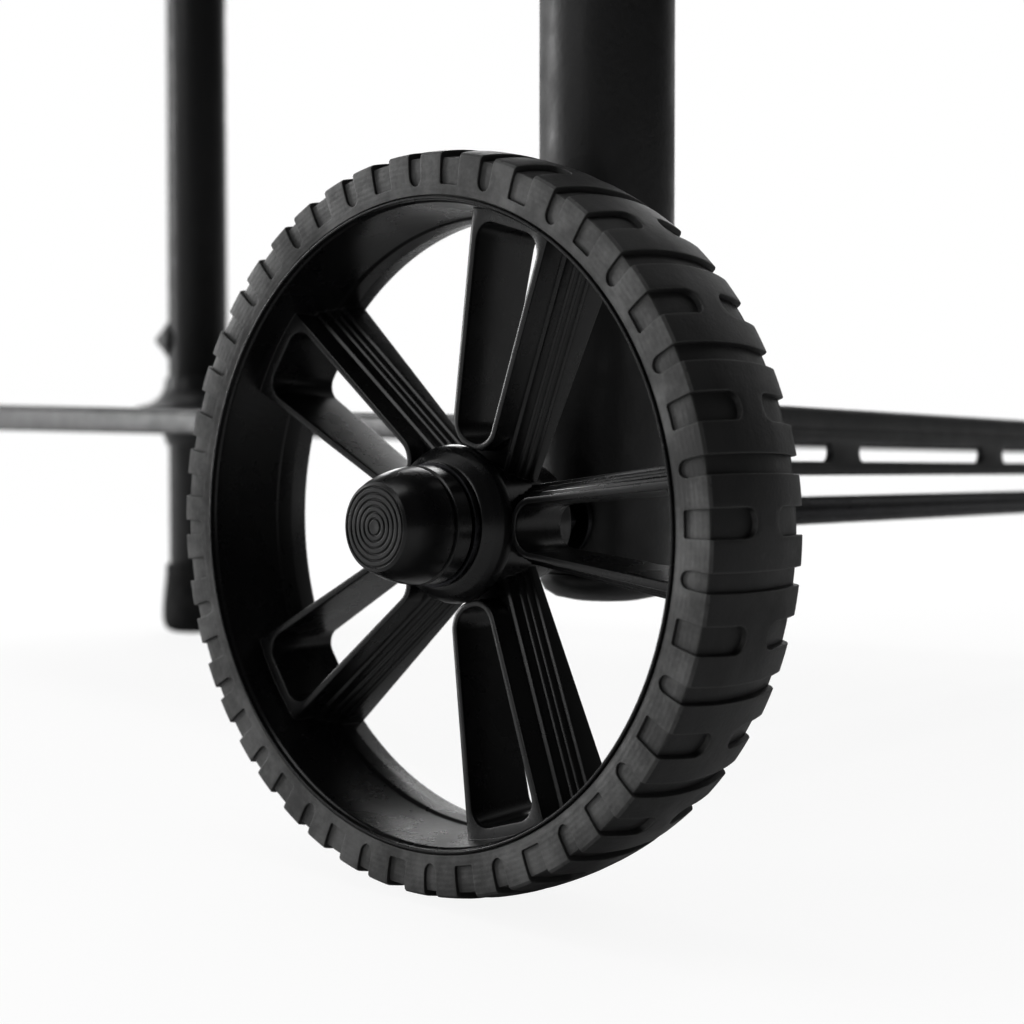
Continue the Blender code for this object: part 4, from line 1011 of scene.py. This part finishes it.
def housing():
    """Pan, deck and two side walls with vents, seams and screws."""
    middle = (0.0, TURRET.y)
    half_length = (FRONT - REAR) / 2
    pan = rectangle(HALF_WIDTH, half_length, 12 * MM, middle, 10)
    sheet("floor_pan", [pan, circle(middle, 11 * MM)], WALL, BODY, "base_pan",
          at(0, 0, PAN_TOP - WALL / 2), MM)
    sheet("deck_plate", [pan, circle((0, DROP.y), 36 * MM, 64)], WALL, BODY, "top_deck",
          at(0, 0, DECK + WALL / 2), MM)
    sleeve = mm((38.5, 0.5), (38.5, -19), (35.8, -19), (35.8, 0.5), up=DECK)
    lathe("drop_sleeve", soften(sleeve, 0.6 * MM), BODY, "top_deck", (0, DROP.y, 0))
    boss = soften(mm((34, 0), (34, 1.6), (29, 1.6), (29, 0)), 0.5 * MM)
    for label, side in SIDES:
        node, out = f"side_panel_{label}", (side, 0, 0)
        turn = along((side * (HALF_WIDTH - WALL / 2), TURRET.y, MIDDLE_Z), out)
        hole = circle(((PIVOT.y - TURRET.y) * side, PIVOT.z - MIDDLE_Z), 8.3 * MM)
        vents = [v for x in (-0.110, 0.105) for v in louvres(x * side, -0.075, 7, 0.070)]
        wall = rectangle(half_length - WALL - 0.3 * MM, TALL, 2 * MM)
        sheet(f"side_wall_{label}", [wall, hole] + vents, WALL, BODY, node, turn, 0.9 * MM)
        outside = turn @ at(0, 0, WALL / 2 + 0.4 * MM)
        for i, (x, y, half) in enumerate(((-0.110 * side, -0.075, (0.044, 0.036)),
                                          (0.105 * side, -0.075, (0.044, 0.036)),
                                          (0.0, 0.095, (0.150, 0.026)))):
            frame_ring(f"side_bead_{label}_{i}", half, BEAD, (8 * MM, 6 * MM), (x, y), 2.4 * MM,
                       outside, BODY, node)
        lathe(f"pivot_ring_{label}", boss, BODY, node, (side * HALF_WIDTH, PIVOT.y, PIVOT.z), out)
        places = [(side * HALF_WIDTH, TURRET.y + y, MIDDLE_Z + z)
                  for y in (-SCREW_Y, SCREW_Y) for z in SCREW_RISES]
        screws(f"side_screws_{label}", places, out, node)


def front_and_rear():
    """Front wall with the ball outlet, and rear wall with openings for controls and battery."""
    wall = rectangle(HALF_WIDTH, TALL, 2 * MM)
    turn = along((0, FRONT - WALL / 2, MIDDLE_Z), (0, 1, 0))
    middle = (0, OUTLET_Z - MIDDLE_Z)
    outlet = rectangle(*OUTLET_HALF, 12 * MM, middle, 12)
    vents = [v for x in (-0.105, 0.105) for v in louvres(x, -0.085, 6, 0.056)]
    sheet("front_wall", [wall, outlet] + vents, WALL, BODY, "front_cover", turn, 0.9 * MM)
    bezel = rectangle(OUTLET_HALF[0] + 9 * MM, OUTLET_HALF[1] + 7 * MM, 19 * MM, middle, 12)
    sheet("outlet_bezel", [bezel, outlet], 5.2 * MM, TRIM, "front_cover",
          turn @ at(0, 0, WALL / 2 + 1.6 * MM), MM)
    bead = turn @ at(0, 0, WALL / 2 + 0.4 * MM)
    for i, x in enumerate((-0.108, 0.108)):
        frame_ring(f"front_bead_{i}", (0.040, 0.120), BEAD, (9 * MM, 7 * MM), (x, 0), 2.4 * MM,
                   bead, BODY, "front_cover")
    wall_screws("front_screws", FRONT, (0, 1, 0), "front_cover")
    turn = along((0, REAR + WALL / 2, MIDDLE_Z), REARWARD)
    hatch = rectangle(*DOOR_HALF, 1.5 * MM, (0, DOOR_Z - MIDDLE_Z))
    holes = [circle((x, KNOB_Z - MIDDLE_Z), 5.0 * MM, 24) for x in KNOBS.values()]
    holes.append(rectangle(14 * MM, 12 * MM, MM, (SWITCH_X, KNOB_Z - MIDDLE_Z)))
    holes.append(circle((SWITCH_X, JACK_Z - MIDDLE_Z), 9.5 * MM, 32))
    sheet("rear_wall", [wall, hatch] + holes, WALL, BODY, "rear_cover", turn, 0.8 * MM)
    wall_screws("rear_screws", REAR, REARWARD, "rear_cover")
    bead = turn @ at(0, 0, WALL / 2 + 0.4 * MM)
    for i, x in enumerate((-0.118, 0.118)):
        frame_ring(f"rear_bead_{i}", (0.028, 0.046), BEAD, (8 * MM, 6 * MM), (x, -0.075),
                   2.4 * MM, bead, BODY, "rear_cover")


def wall_screws(name, y, direction, node):
    """Screws down both edges of the front or rear wall."""
    places = [(x, y, MIDDLE_Z + z) for x in (-SCREW_X, SCREW_X) for z in SCREW_RISES]
    screws(name, places, direction, node)


# ---------------------------------------------------------------- controls and power
def fluted(profile, flutes, depth, top, bottom, segments):
    """Turned shape whose side is scalloped between two heights, for finger grip."""
    verts, faces = lathe_data(profile, segments)
    widest = max(r for r, _ in profile)
    out = []
    for x, y, z in verts:
        radius, angle = math.hypot(x, y), math.atan2(y, x)
        if bottom < z < top and radius > widest * 0.6:
            radius -= depth * (0.5 - 0.5 * math.cos(flutes * angle)) ** 1.5
        out.append((radius * math.cos(angle), radius * math.sin(angle), z))
    return out, faces


def controls():
    """Fascia with three dials and their ticks, power switch and charging socket."""
    node = "control_panel"
    face_y, middle_z = low(node).y, centre(node).z
    holes = [circle((x, KNOB_Z - middle_z), 3.4 * MM, 24) for x in KNOBS.values()]
    holes.append(rectangle(12.5 * MM, 10.8 * MM, 0.8 * MM, (SWITCH_X, KNOB_Z - middle_z)))
    holes.append(circle((SWITCH_X, JACK_Z - middle_z), 6.5 * MM, 32))
    sheet("fascia", [rectangle(0.125, 0.050, 10 * MM, (0, 0), 10)] + holes, WALL, TRIM, node,
          along((0, high(node).y - 1.5 * MM, middle_z), REARWARD), 0.9 * MM)
    knob = mm((0, 17.5), (9.8, 17.5), (11.2, 17.1), (11.9, 16.2), (12.4, 12), (13.2, 8),
              (13.5, 6.4), (14.3, 5.6), (14.5, 4.6), (14.3, 3.5), (3.1, 3.4), (3.1, -5), (0, -5))
    dial = fluted(knob, 14, 0.9 * MM, 17.4 * MM, 6 * MM, 140)
    pointer = block_data((-0.6 * MM, 3.5 * MM, 17.3 * MM), (0.6 * MM, 9.6 * MM, 17.75 * MM),
                         0.2 * MM, 2)
    tick = block_data((-0.35 * MM, 17.6 * MM, 0), (0.35 * MM, 20.4 * MM, 0.25 * MM))
    marks = []
    for name, x in KNOBS.items():
        for i in range(11):
            spin = Matrix.Rotation(math.radians(135 - 27 * i), 4, "Z")
            marks.append((tick, along((x, face_y, KNOB_Z), REARWARD) @ spin))
        place = along((x, REAR - 0.3 * MM, KNOB_Z), REARWARD)
        piece(f"dial_{name}", dial, TRIM_BLACK, f"knob_{name}", place=place)
        piece(f"dial_mark_{name}", pointer, MARK, f"knob_{name}", place=place)
    dot = lathe_data(mm((0, 0.25), (1.1, 0.25), (1.1, 0), (0, 0)), 24)
    marks.append((dot, along((SWITCH_X, face_y, KNOB_Z + 15 * MM), REARWARD)))
    piece("dial_ticks", merged(marks), MARK, node, 30)
    rocker()
    jack_place = (centre("charge_socket").x, REAR - 0.3 * MM, JACK_Z)
    barrel = mm((0, -4.5), (4, -4.5), (4, 3.0), (4.4, 3.5), (5.8, 3.5), (6.2, 3.1), (6.2, -6.5),
                (0, -6.5))
    lathe("socket_barrel", barrel, ZINC, "charge_socket", jack_place, REARWARD, 48)
    pin = mm((0, 1.5), (0.8, 1.2), (0.9, 0.8), (0.9, -5), (0, -5))
    lathe("socket_pin", pin, ZINC, "charge_socket", jack_place, REARWARD, 24)
    control_box()


def rocker():
    """Rocker switch: a shallow V-shaped cap inside a bezel."""
    half = 11.3 * MM
    section = soften(mm((-8.4, -4.5), (8.4, -4.5), (8.4, 5.8), (0, 4.0), (-8.4, 5.8)), MM, 4)
    verts = [(x, y, z) for x in (-half, half) for y, z in section]
    count = len(section)
    faces = [(i, (i + 1) % count, count + (i + 1) % count, count + i) for i in range(count)]
    faces += [tuple(reversed(range(count))), tuple(range(count, 2 * count))]
    place = along(JOINTS["power_rock"], REARWARD) @ Matrix.Rotation(math.radians(9), 4, "X")
    piece("rocker_cap", (verts, faces), TRIM_BLACK, "power_switch", 30, place)
    frame_ring("switch_bezel", (16 * MM, 14 * MM), (3.5 * MM, 3.2 * MM), (3 * MM, 0.8 * MM), (0, 0),
               2.2 * MM, along((SWITCH_X, low("control_panel").y, KNOB_Z), REARWARD), TRIM_BLACK,
               "control_panel")


def control_box():
    """Circuit box inside the rear wall, with cooling ribs."""
    lower, upper = low("controller_box"), high("controller_box")
    parts = [(block_data(lower, (upper.x, upper.y - 4 * MM, upper.z), 2 * MM), FLAT)]
    for i in range(15):
        x = lower.x + 12 * MM + i * (upper.x - lower.x - 24 * MM) / 14
        parts.append((block_data((x - 1.4 * MM, upper.y - 5 * MM, lower.z + 6 * MM),
                                 (x + 1.4 * MM, upper.y, upper.z - 6 * MM), 0.6 * MM, 2), FLAT))
    piece("circuit_box", merged(parts), TRIM, "controller_box", 40)


def power():
    """Battery pack with a terminal cover, and its hinged door with a finger pull."""
    lower, upper = low("battery"), high("battery")
    case = block_data(lower, (upper.x, upper.y, upper.z - 6 * MM), 3 * MM)
    cover = block_data((lower.x + 8 * MM, lower.y + 8 * MM, upper.z - 8 * MM),
                       (upper.x - 8 * MM, upper.y - 8 * MM, upper.z), 1.5 * MM)
    piece("battery_case", merged([(case, FLAT), (cover, FLAT)]), TRIM, "battery", 40)
    node = "battery_door"
    lower, upper = low(node), high(node)
    half = ((upper.x - lower.x) / 2, (upper.z - lower.z) / 2 + 2.2 * MM)
    turn = along((lower + upper) / 2, REARWARD)
    sheet("door_panel", [rectangle(*half, 1.2 * MM)], 3 * MM, BODY, node, turn)
    pull = (half[0] - 24 * MM, 0)
    sheet("door_pull", [slot(pull, 34 * MM, 13 * MM), slot(pull, 30 * MM, 9 * MM)], 2.6 * MM,
          BODY, node, turn @ at(0, 0, 1.5 * MM + 0.6 * MM), MM)
    frame_ring("door_bead", (half[0] - 6 * MM, half[1] - 6 * MM), BEAD, (6 * MM, 4 * MM), (0, 0),
               2.0 * MM, turn @ at(0, 0, 1.5 * MM + 0.3 * MM), BODY, node)


# ---------------------------------------------------------------- launcher
PLATE_X = 37 * MM                      # inner face of the launcher's side plates


def launcher():
    """Drilled side plates, ball guides, trunnions and the fluted elevation knob."""
    node = "launcher_chassis"
    spacing = centre("throw_wheel_top").z - PIVOT.z
    holes = [circle((0, dz), 4.3 * MM, 32) for dz in (-spacing, spacing)]
    holes += [circle((dy, 0), 22 * MM) for dy in (-0.075, 0.075)]
    holes += [circle((0.096 * math.cos(a), 0.096 * math.sin(a)), 7 * MM, 32)
              for a in (math.radians(45 + 90 * i) for i in range(4))]
    for label, side in SIDES:
        out = Vector((side, 0, 0))
        sheet(f"launcher_plate_{label}", [circle((0, 0), 115 * MM, 96)] + holes, 3 * MM, ZINC,
              node, along(PIVOT + Vector((side * (PLATE_X + 1.5 * MM), 0, 0)), out))
        end = low(node).x if side < 0 else high(node).x
        pin = mm((0, 0), (7.4, 0), (8, -0.6), up=abs(end) - PLATE_X - MM)
        pin += mm((8, 3), (12, 2.6), (12.4, 2), (12.4, 0), (0, 0))
        lathe(f"trunnion_{label}", pin, ZINC, node,
              PIVOT + Vector((side * (PLATE_X + MM), 0, 0)), out, 48)
    for name, y0, y1, z0, z1 in (("guide_rear", -0.108, -0.056, -0.040, -0.037),
                                 ("guide_front_low", 0.048, 0.108, -0.040, -0.037),
                                 ("guide_front_top", 0.048, 0.108, 0.037, 0.040)):
        guide = block_data(PIVOT + Vector((-PLATE_X, y0, z0)), PIVOT + Vector((PLATE_X, y1, z1)),
                           0.7 * MM)
        piece(name, guide, ZINC, node, 40)
    knob = mm((0, 20.5), (17, 20.5), (20.5, 19.7), (22.6, 17.6), (23.8, 12), (24.6, 6),
              (24.9, 4), (24.4, 3.1), (8.3, 3), (8.3, 8.5), (0, 8.5))
    origin, out = (-HALF_WIDTH, PIVOT.y, PIVOT.z), (-1, 0, 0)
    piece("elevation_grip", fluted(knob, 9, 2.6 * MM, 20.4 * MM, 3.05 * MM, 180), TRIM_BLACK,
          "elevation_knob", place=along(origin, out))
    cap = mm((0, 0.6), (8.4, 0.6), (9, 0.2), (9, -0.4), (0, -0.4), up=20.0 * MM)
    lathe("elevation_cap", cap, TRIM, "elevation_knob", origin, out, 48)
    throw_wheel("top", 1, spacing)
    throw_wheel("bottom", -1, spacing)


def throw_wheel(label, side, spacing):
    """Dished rubber-faced wheel on its shaft, and the motor beside it."""
    place, out = PIVOT + Vector((0, 0, side * spacing)), (side, 0, 0)
    face = []
    for i in range(9):
        level = (-22 + 5.5 * i) * MM
        dish = 50 * MM - 2.0 * MM * (1 - (level / (25 * MM)) ** 2)
        face += mm((0, -1.9), (0, 1.5), (-0.7, 1.9), (-0.7, 3.2), out=dish, up=level)
    face = [(r, h) for r, h in reversed(face) if abs(h) < 24 * MM]
    cover = mm((44, 25), (49.6, 25), (50, 24.4)) + face + mm((50, -24.4), (49.6, -25), (44, -25))
    lathe(f"throw_face_{label}", cover, GREEN, f"throw_wheel_{label}", place, out)
    core = mm((0, 52), (4, 52), (4, 30), (11.6, 30), (12, 29.5), (12, 19), (40, 17), (42, 24),
              (44.2, 24.4), (44.2, -24.4), (42, -24), (40, -17), (12, -19), (12, -29.5),
              (11.6, -30), (4, -30), (4, -45), (0, -45))
    lathe(f"throw_core_{label}", core, TRIM_BLACK, f"throw_wheel_{label}", place, out, 64)
    motor_body(f"throw_motor_can_{label}", place + Vector((side * 40.3 * MM, 0, 0)), out, 22 * MM,
               64.7 * MM, 15.7 * MM, f"throw_motor_{label}")


# ---------------------------------------------------------------- hopper and feeder
BIN_SHEET, BIN_FOOT = 3.5 * MM, 45 * MM
BIN_LEDGE = 22 * MM                    # width of the ledge round the bin's floor
RIB_PITCH, RIB_COUNT = 0.052, 3
STAR_Z = 0.9040


def hopper():
    """Ball bin: stepped foot, flared ribbed walls, rolled rim, and a drilled floor."""
    node = "hopper_bin"
    middle = (0.0, centre(node).y)
    floor, top = low(node).z, high(node).z
    low_half, high_half = 150 * MM, high(node).x
    neck, rim_z = floor + BIN_FOOT, top - 14 * MM
    flare = (high_half - 6 * MM - low_half) / (top - neck)

    def wall(height):
        return low_half + flare * max(0.0, height - neck)

    def rib(i, swell, inset):
        z = neck + RIB_PITCH + i * RIB_PITCH
        return [(wall(z - 3 * MM) - inset, z - 3 * MM), (wall(z) + swell - inset, z - MM),
                (wall(z) + swell - inset, z + MM), (wall(z + 3 * MM) - inset, z + 3 * MM)]

    foot = wall(floor)
    levels = mm((-1.5, 0), (0, 1.5), out=foot, up=floor)
    levels += mm((0, -6), (0.4, 0), out=wall(neck), up=neck)
    for i in range(RIB_COUNT):
        levels += rib(i, 1.6 * MM, 0.0)
    levels += [(wall(rim_z), rim_z)] + mm((-0.8, 1.2), (0, 2.6), out=high_half, up=rim_z)
    levels += mm((0, -2.0), (-0.7, -0.6), (-2, 0), out=high_half, up=top)
    levels += mm((-1.0, 0), (-2.8, -0.8), out=wall(top), up=top)
    levels += [(wall(top - 3 * MM) - BIN_SHEET, top - 3 * MM)]
    for i in reversed(range(RIB_COUNT)):
        levels += reversed(rib(i, 1.2 * MM, BIN_SHEET))
    levels += [(wall(neck) - BIN_SHEET, neck), (foot - BIN_SHEET, neck - 8 * MM),
               (foot - BIN_SHEET, floor + BIN_SHEET + 2 * MM),
               (foot - BIN_SHEET - 2 * MM, floor + BIN_SHEET),
               (low_half - BIN_LEDGE, floor + BIN_SHEET), (low_half - BIN_LEDGE, floor)]
    verts = []
    for half, z in levels:
        corner = 14 * MM
        if half > low_half - 20 * MM:
            corner = 28 * MM + 0.28 * max(0.0, half - low_half)
        outline = rectangle(half, half, corner, middle, 10)
        verts += [(x, y, z) for x, y in outline]
    piece("bin_shell", (verts, ring_faces(len(levels), len(outline))), BIN, node, 25)
    feed = centre("feed_motor")
    plate = rectangle(low_half - 21.8 * MM, low_half - 21.8 * MM, 14 * MM, middle, 10)
    holes = [circle((0, DROP.y), 36 * MM, 64), circle((feed.x, feed.y), 26 * MM, 64)]
    sheet("bin_floor", [plate] + holes, BIN_SHEET, BIN, node, at(0, 0, floor + BIN_SHEET / 2),
          0.5 * MM)


def feeder():
    """Five-pocket star wheel with a domed hub, over the feed motor."""
    joint = JOINTS["carousel_spin"]
    reach = joint.y - DROP.y
    outline = []
    for i in range(5):
        angle = -90 + 72 * i
        pocket = (reach * math.cos(math.radians(angle)), reach * math.sin(math.radians(angle)))
        outline += arc(pocket, 36 * MM, angle - 70, angle - 290, 28)
        outline += arc((0, 0), 123.2 * MM, angle + 25, angle + 47, 8)
    sheet("star_blades", [outline, circle((0, 0), 30 * MM, 64)], 16 * MM, GREEN, "feed_carousel",
          at(joint.x, joint.y, STAR_Z), 2.0 * MM)
    hub = mm((0, 945), (8, 944.6), (16, 943.2), (23, 940.4), (29, 935.6), (32.8, 929.4),
             (34, 924), (34, 896), (33.2, 895), (27.5, 895), (27.5, 928), (3.3, 928), (3.3, 938),
             (0, 938))
    origin = (joint.x, joint.y, 0)
    lathe("star_hub", hub, GREEN, "feed_carousel", origin)
    motor = mm((0, 0), (2.7, 0), (3, -0.4), (3, -10), (23, -10), (24, -11),
               up=high("feed_motor").z)
    motor += mm((24, 12), (23.2, 11.4), (23.2, 10.4), (24, 9.8), (24, 0.6), (23.4, 0), (0, 0),
                up=low("feed_motor").z)
    lathe("feed_motor_can", motor, TRIM, "feed_motor", origin, segments=64)


# ---------------------------------------------------------------- handle
HANDLE_RADIUS, HANDLE_BEND = 11 * MM, 35 * MM
LEAN_START, LEAN_END = 30 * MM, 0.300  # heights above the pivot between which the sides lean


def handle():
    """Bent push handle with a ribbed foam grip, on two clevis brackets."""
    joint, grip_middle = JOINTS["handle_fold"], centre("handle_grip")
    top_y, top_z = grip_middle.y, grip_middle.z
    reach = LEG_RIGHT.x
    side = [(reach, joint.y, joint.z - 9 * MM), (reach, joint.y, joint.z + 24 * MM)]
    start = Vector((reach, joint.y, joint.z + LEAN_START))
    end = Vector((reach, top_y, joint.z + LEAN_END))
    side += [tuple(start.lerp(end, i / 12)) for i in range(13)]
    side += [(x, top_y, z) for x, z in
             arc((reach - HANDLE_BEND, top_z - HANDLE_BEND), HANDLE_BEND, 0, 90, 20)]
    path = side + [(-x, y, z) for x, y, z in reversed(side)]
    tube("handle_tube", path, HANDLE_RADIUS, POWDER, "push_handle", 48)
    inner = HANDLE_RADIUS + 0.1 * MM
    grip = [(inner, -110 * MM)] + mm((13.6, -110), (14.4, -109), (14.5, -104))
    for i in range(26):
        grip += mm((14.5, 0), (14.0, 0.5), (14.0, 1.1), (14.5, 1.6),
                   up=(-100 + 8 * i) * MM - 0.8 * MM)
    grip += mm((14.5, 104), (14.4, 109), (13.6, 110)) + [(inner, 110 * MM)]
    lathe("grip_sleeve", grip, GRIP, "handle_grip", (0, top_y, top_z), (1, 0, 0), 64)
    for label, sign in SIDES:
        clevis(label, sign * reach, joint)


def clevis(label, x, joint):
    """Two rounded ears on a bolted base, and the pivot bolt with a head at each end."""
    node, bolt = f"handle_bracket_{label}", f"handle_bolt_{label}"
    face, middle_z = high(node).y, (low(node).z + high(node).z) / 2
    base = rectangle(16.5 * MM, (high(node).z - low(node).z) / 2, 3 * MM, (0, 0), 6)
    sheet(f"bracket_base_{label}", [base, circle((0, -21 * MM), 2.4 * MM, 20)], 3 * MM, POWDER,
          node, along((x, face - 1.5 * MM, middle_z), REARWARD))
    depth = face - (joint.y - 9.5 * MM)
    ear = rounded([(0, -20 * MM), (depth, -14 * MM), (depth, 12 * MM), (0, 16 * MM)],
                  [MM, 8 * MM, 8 * MM, MM])
    hole = circle((face - joint.y, 0), 4.3 * MM, 32)
    for i, dx in enumerate((-15 * MM, 15 * MM)):
        sheet(f"bracket_ear_{label}_{i}", [ear, hole], 3 * MM, POWDER, node,
              along((x + dx, face, joint.z), (-1, 0, 0)))
    hex_bolt(f"bracket_screw_{label}", (x, face - 3 * MM, middle_z - 21 * MM), REARWARD,
             4.2 * MM, 2.6 * MM, node)
    lathe(f"pivot_shank_{label}", mm((0, 17), (4, 17), (4, -17), (0, -17)), ZINC, bolt,
          (x, joint.y, joint.z), (1, 0, 0), 32)
    for side in (-1, 1):
        hex_bolt(f"pivot_head_{label}_{side + 1}", (x + side * 16.7 * MM, joint.y, joint.z),
                 (side, 0, 0), 5.4 * MM, 3.8 * MM, bolt)


for build in (leg_tubes, leg_ends, shelf, front_leg_fittings, axle_rod, platform, turntable,
              housing, front_and_rear, controls, power, launcher, hopper, feeder, handle):
    build()


# ---------------------------------------------------------------- stage, lights and camera
def pale_floor():
    """Matte white near the machine that turns into an even white glow further off."""
    pale = Finish("pale_floor", (0.86, 0.86, 0.86), 0.7, specular=0.15)
    pale.sheen(pale.noise(3, 3), 0.62, 0.75)
    fade = pale.ramp(pale.vector_math("LENGTH", pale.place), 0.45, 2.2, 0.92, 1.0)
    pale.blend_shaders(pale.math("MULTIPLY", fade, pale.camera_ray()), pale.out,
                       pale.node("Emission", {"Color": WHITE}), "Material Output")
    return pale.material


def white_surround():
    """White to the camera; as a light, a soft gradient that is brightest ahead of the machine."""
    world = bpy.data.worlds.new("studio")
    bpy.context.scene.world = world
    world.use_nodes = True
    sky = Nodes(world.node_tree)
    back = world.node_tree.nodes["Background"]
    back.inputs["Color"].default_value = WHITE
    ahead = sky.vector_math("DOT_PRODUCT", sky.node("TexCoord").outputs["Generated"],
                            (0.42, 0.88, 0.22))
    sky.link(sky.ramp(ahead, -0.15, 0.75, 0.07, 1.3), back.inputs["Strength"])
    seen = sky.node("Background", {"Color": WHITE, "Strength": 1.0})
    sky.blend_shaders(sky.camera_ray(), back, seen, "World Output")


def stage():
    """Plain pale floor that fades into the surround."""
    mesh = bpy.data.meshes.new("floor")
    work = bmesh.new()
    bmesh.ops.create_circle(work, cap_ends=True, segments=96, radius=12.0)
    work.to_mesh(mesh)
    work.free()
    floor = bpy.data.objects.new("floor", mesh)
    floor.location = (0, 0, -0.2 * MM)
    bpy.context.scene.collection.objects.link(floor)
    mesh.materials.append(pale_floor())
    white_surround()


def light(name, place, target, size, watts):
    """Rectangular area light aimed at a target."""
    lamp = bpy.data.lights.new(name, "AREA")
    lamp.shape = "RECTANGLE"
    lamp.size, lamp.size_y = size
    lamp.energy = watts
    holder = bpy.data.objects.new(name, lamp)
    holder.location = place
    holder.rotation_euler = (Vector(target) - Vector(place)).to_track_quat("-Z", "Y").to_euler()
    bpy.context.scene.collection.objects.link(holder)


CAMERA_FROM_LEG = Vector((-0.2769, -0.2184, 0.0888))
VIEW_DIRECTION = Vector((0.744, 0.668, 0.0)).normalized()
VIEW_PITCH = math.radians(-1.6)
LENS, SENSOR = 51.86, 36.0             # millimetres


def camera():
    """Close view of the left wheel from its outer rear side, focused on the wheel."""
    data = bpy.data.cameras.new("camera")
    data.lens, data.sensor_width = LENS, SENSOR
    data.clip_start = 0.01
    holder = bpy.data.objects.new("camera", data)
    holder.location = Vector((LEG_LEFT.x, AXLE_Y, 0)) + CAMERA_FROM_LEG
    look = VIEW_DIRECTION * math.cos(VIEW_PITCH) + Vector((0, 0, math.sin(VIEW_PITCH)))
    holder.rotation_euler = look.to_track_quat("-Z", "Y").to_euler()
    bpy.context.scene.collection.objects.link(holder)
    focus = bpy.data.objects.new("focus", None)
    focus.location = (FACE_X, AXLE_Y - 0.01, AXLE_Z)
    bpy.context.scene.collection.objects.link(focus)
    data.dof.use_dof = True
    data.dof.focus_object = focus
    data.dof.aperture_fstop = 18.0
    bpy.context.scene.camera = holder


stage()
light("top_softbox", (0.0, 0.1, 2.6), (0, 0, 0.4), (1.8, 1.8), 30)
light("key", (-2.6, 0.3, 1.1), (0, 0, 0.3), (0.9, 1.2), 13)
light("side_strip", (-1.2, 1.9, 0.5), (-0.28, -0.14, 0.08), (0.35, 1.1), 19)
light("rim_light", (1.8, 1.6, 1.3), (0, 0, 0.3), (1.4, 1.4), 26)
camera()
bpy.context.scene.view_settings.view_transform = "Standard"
bpy.context.scene.view_settings.gamma = 0.8
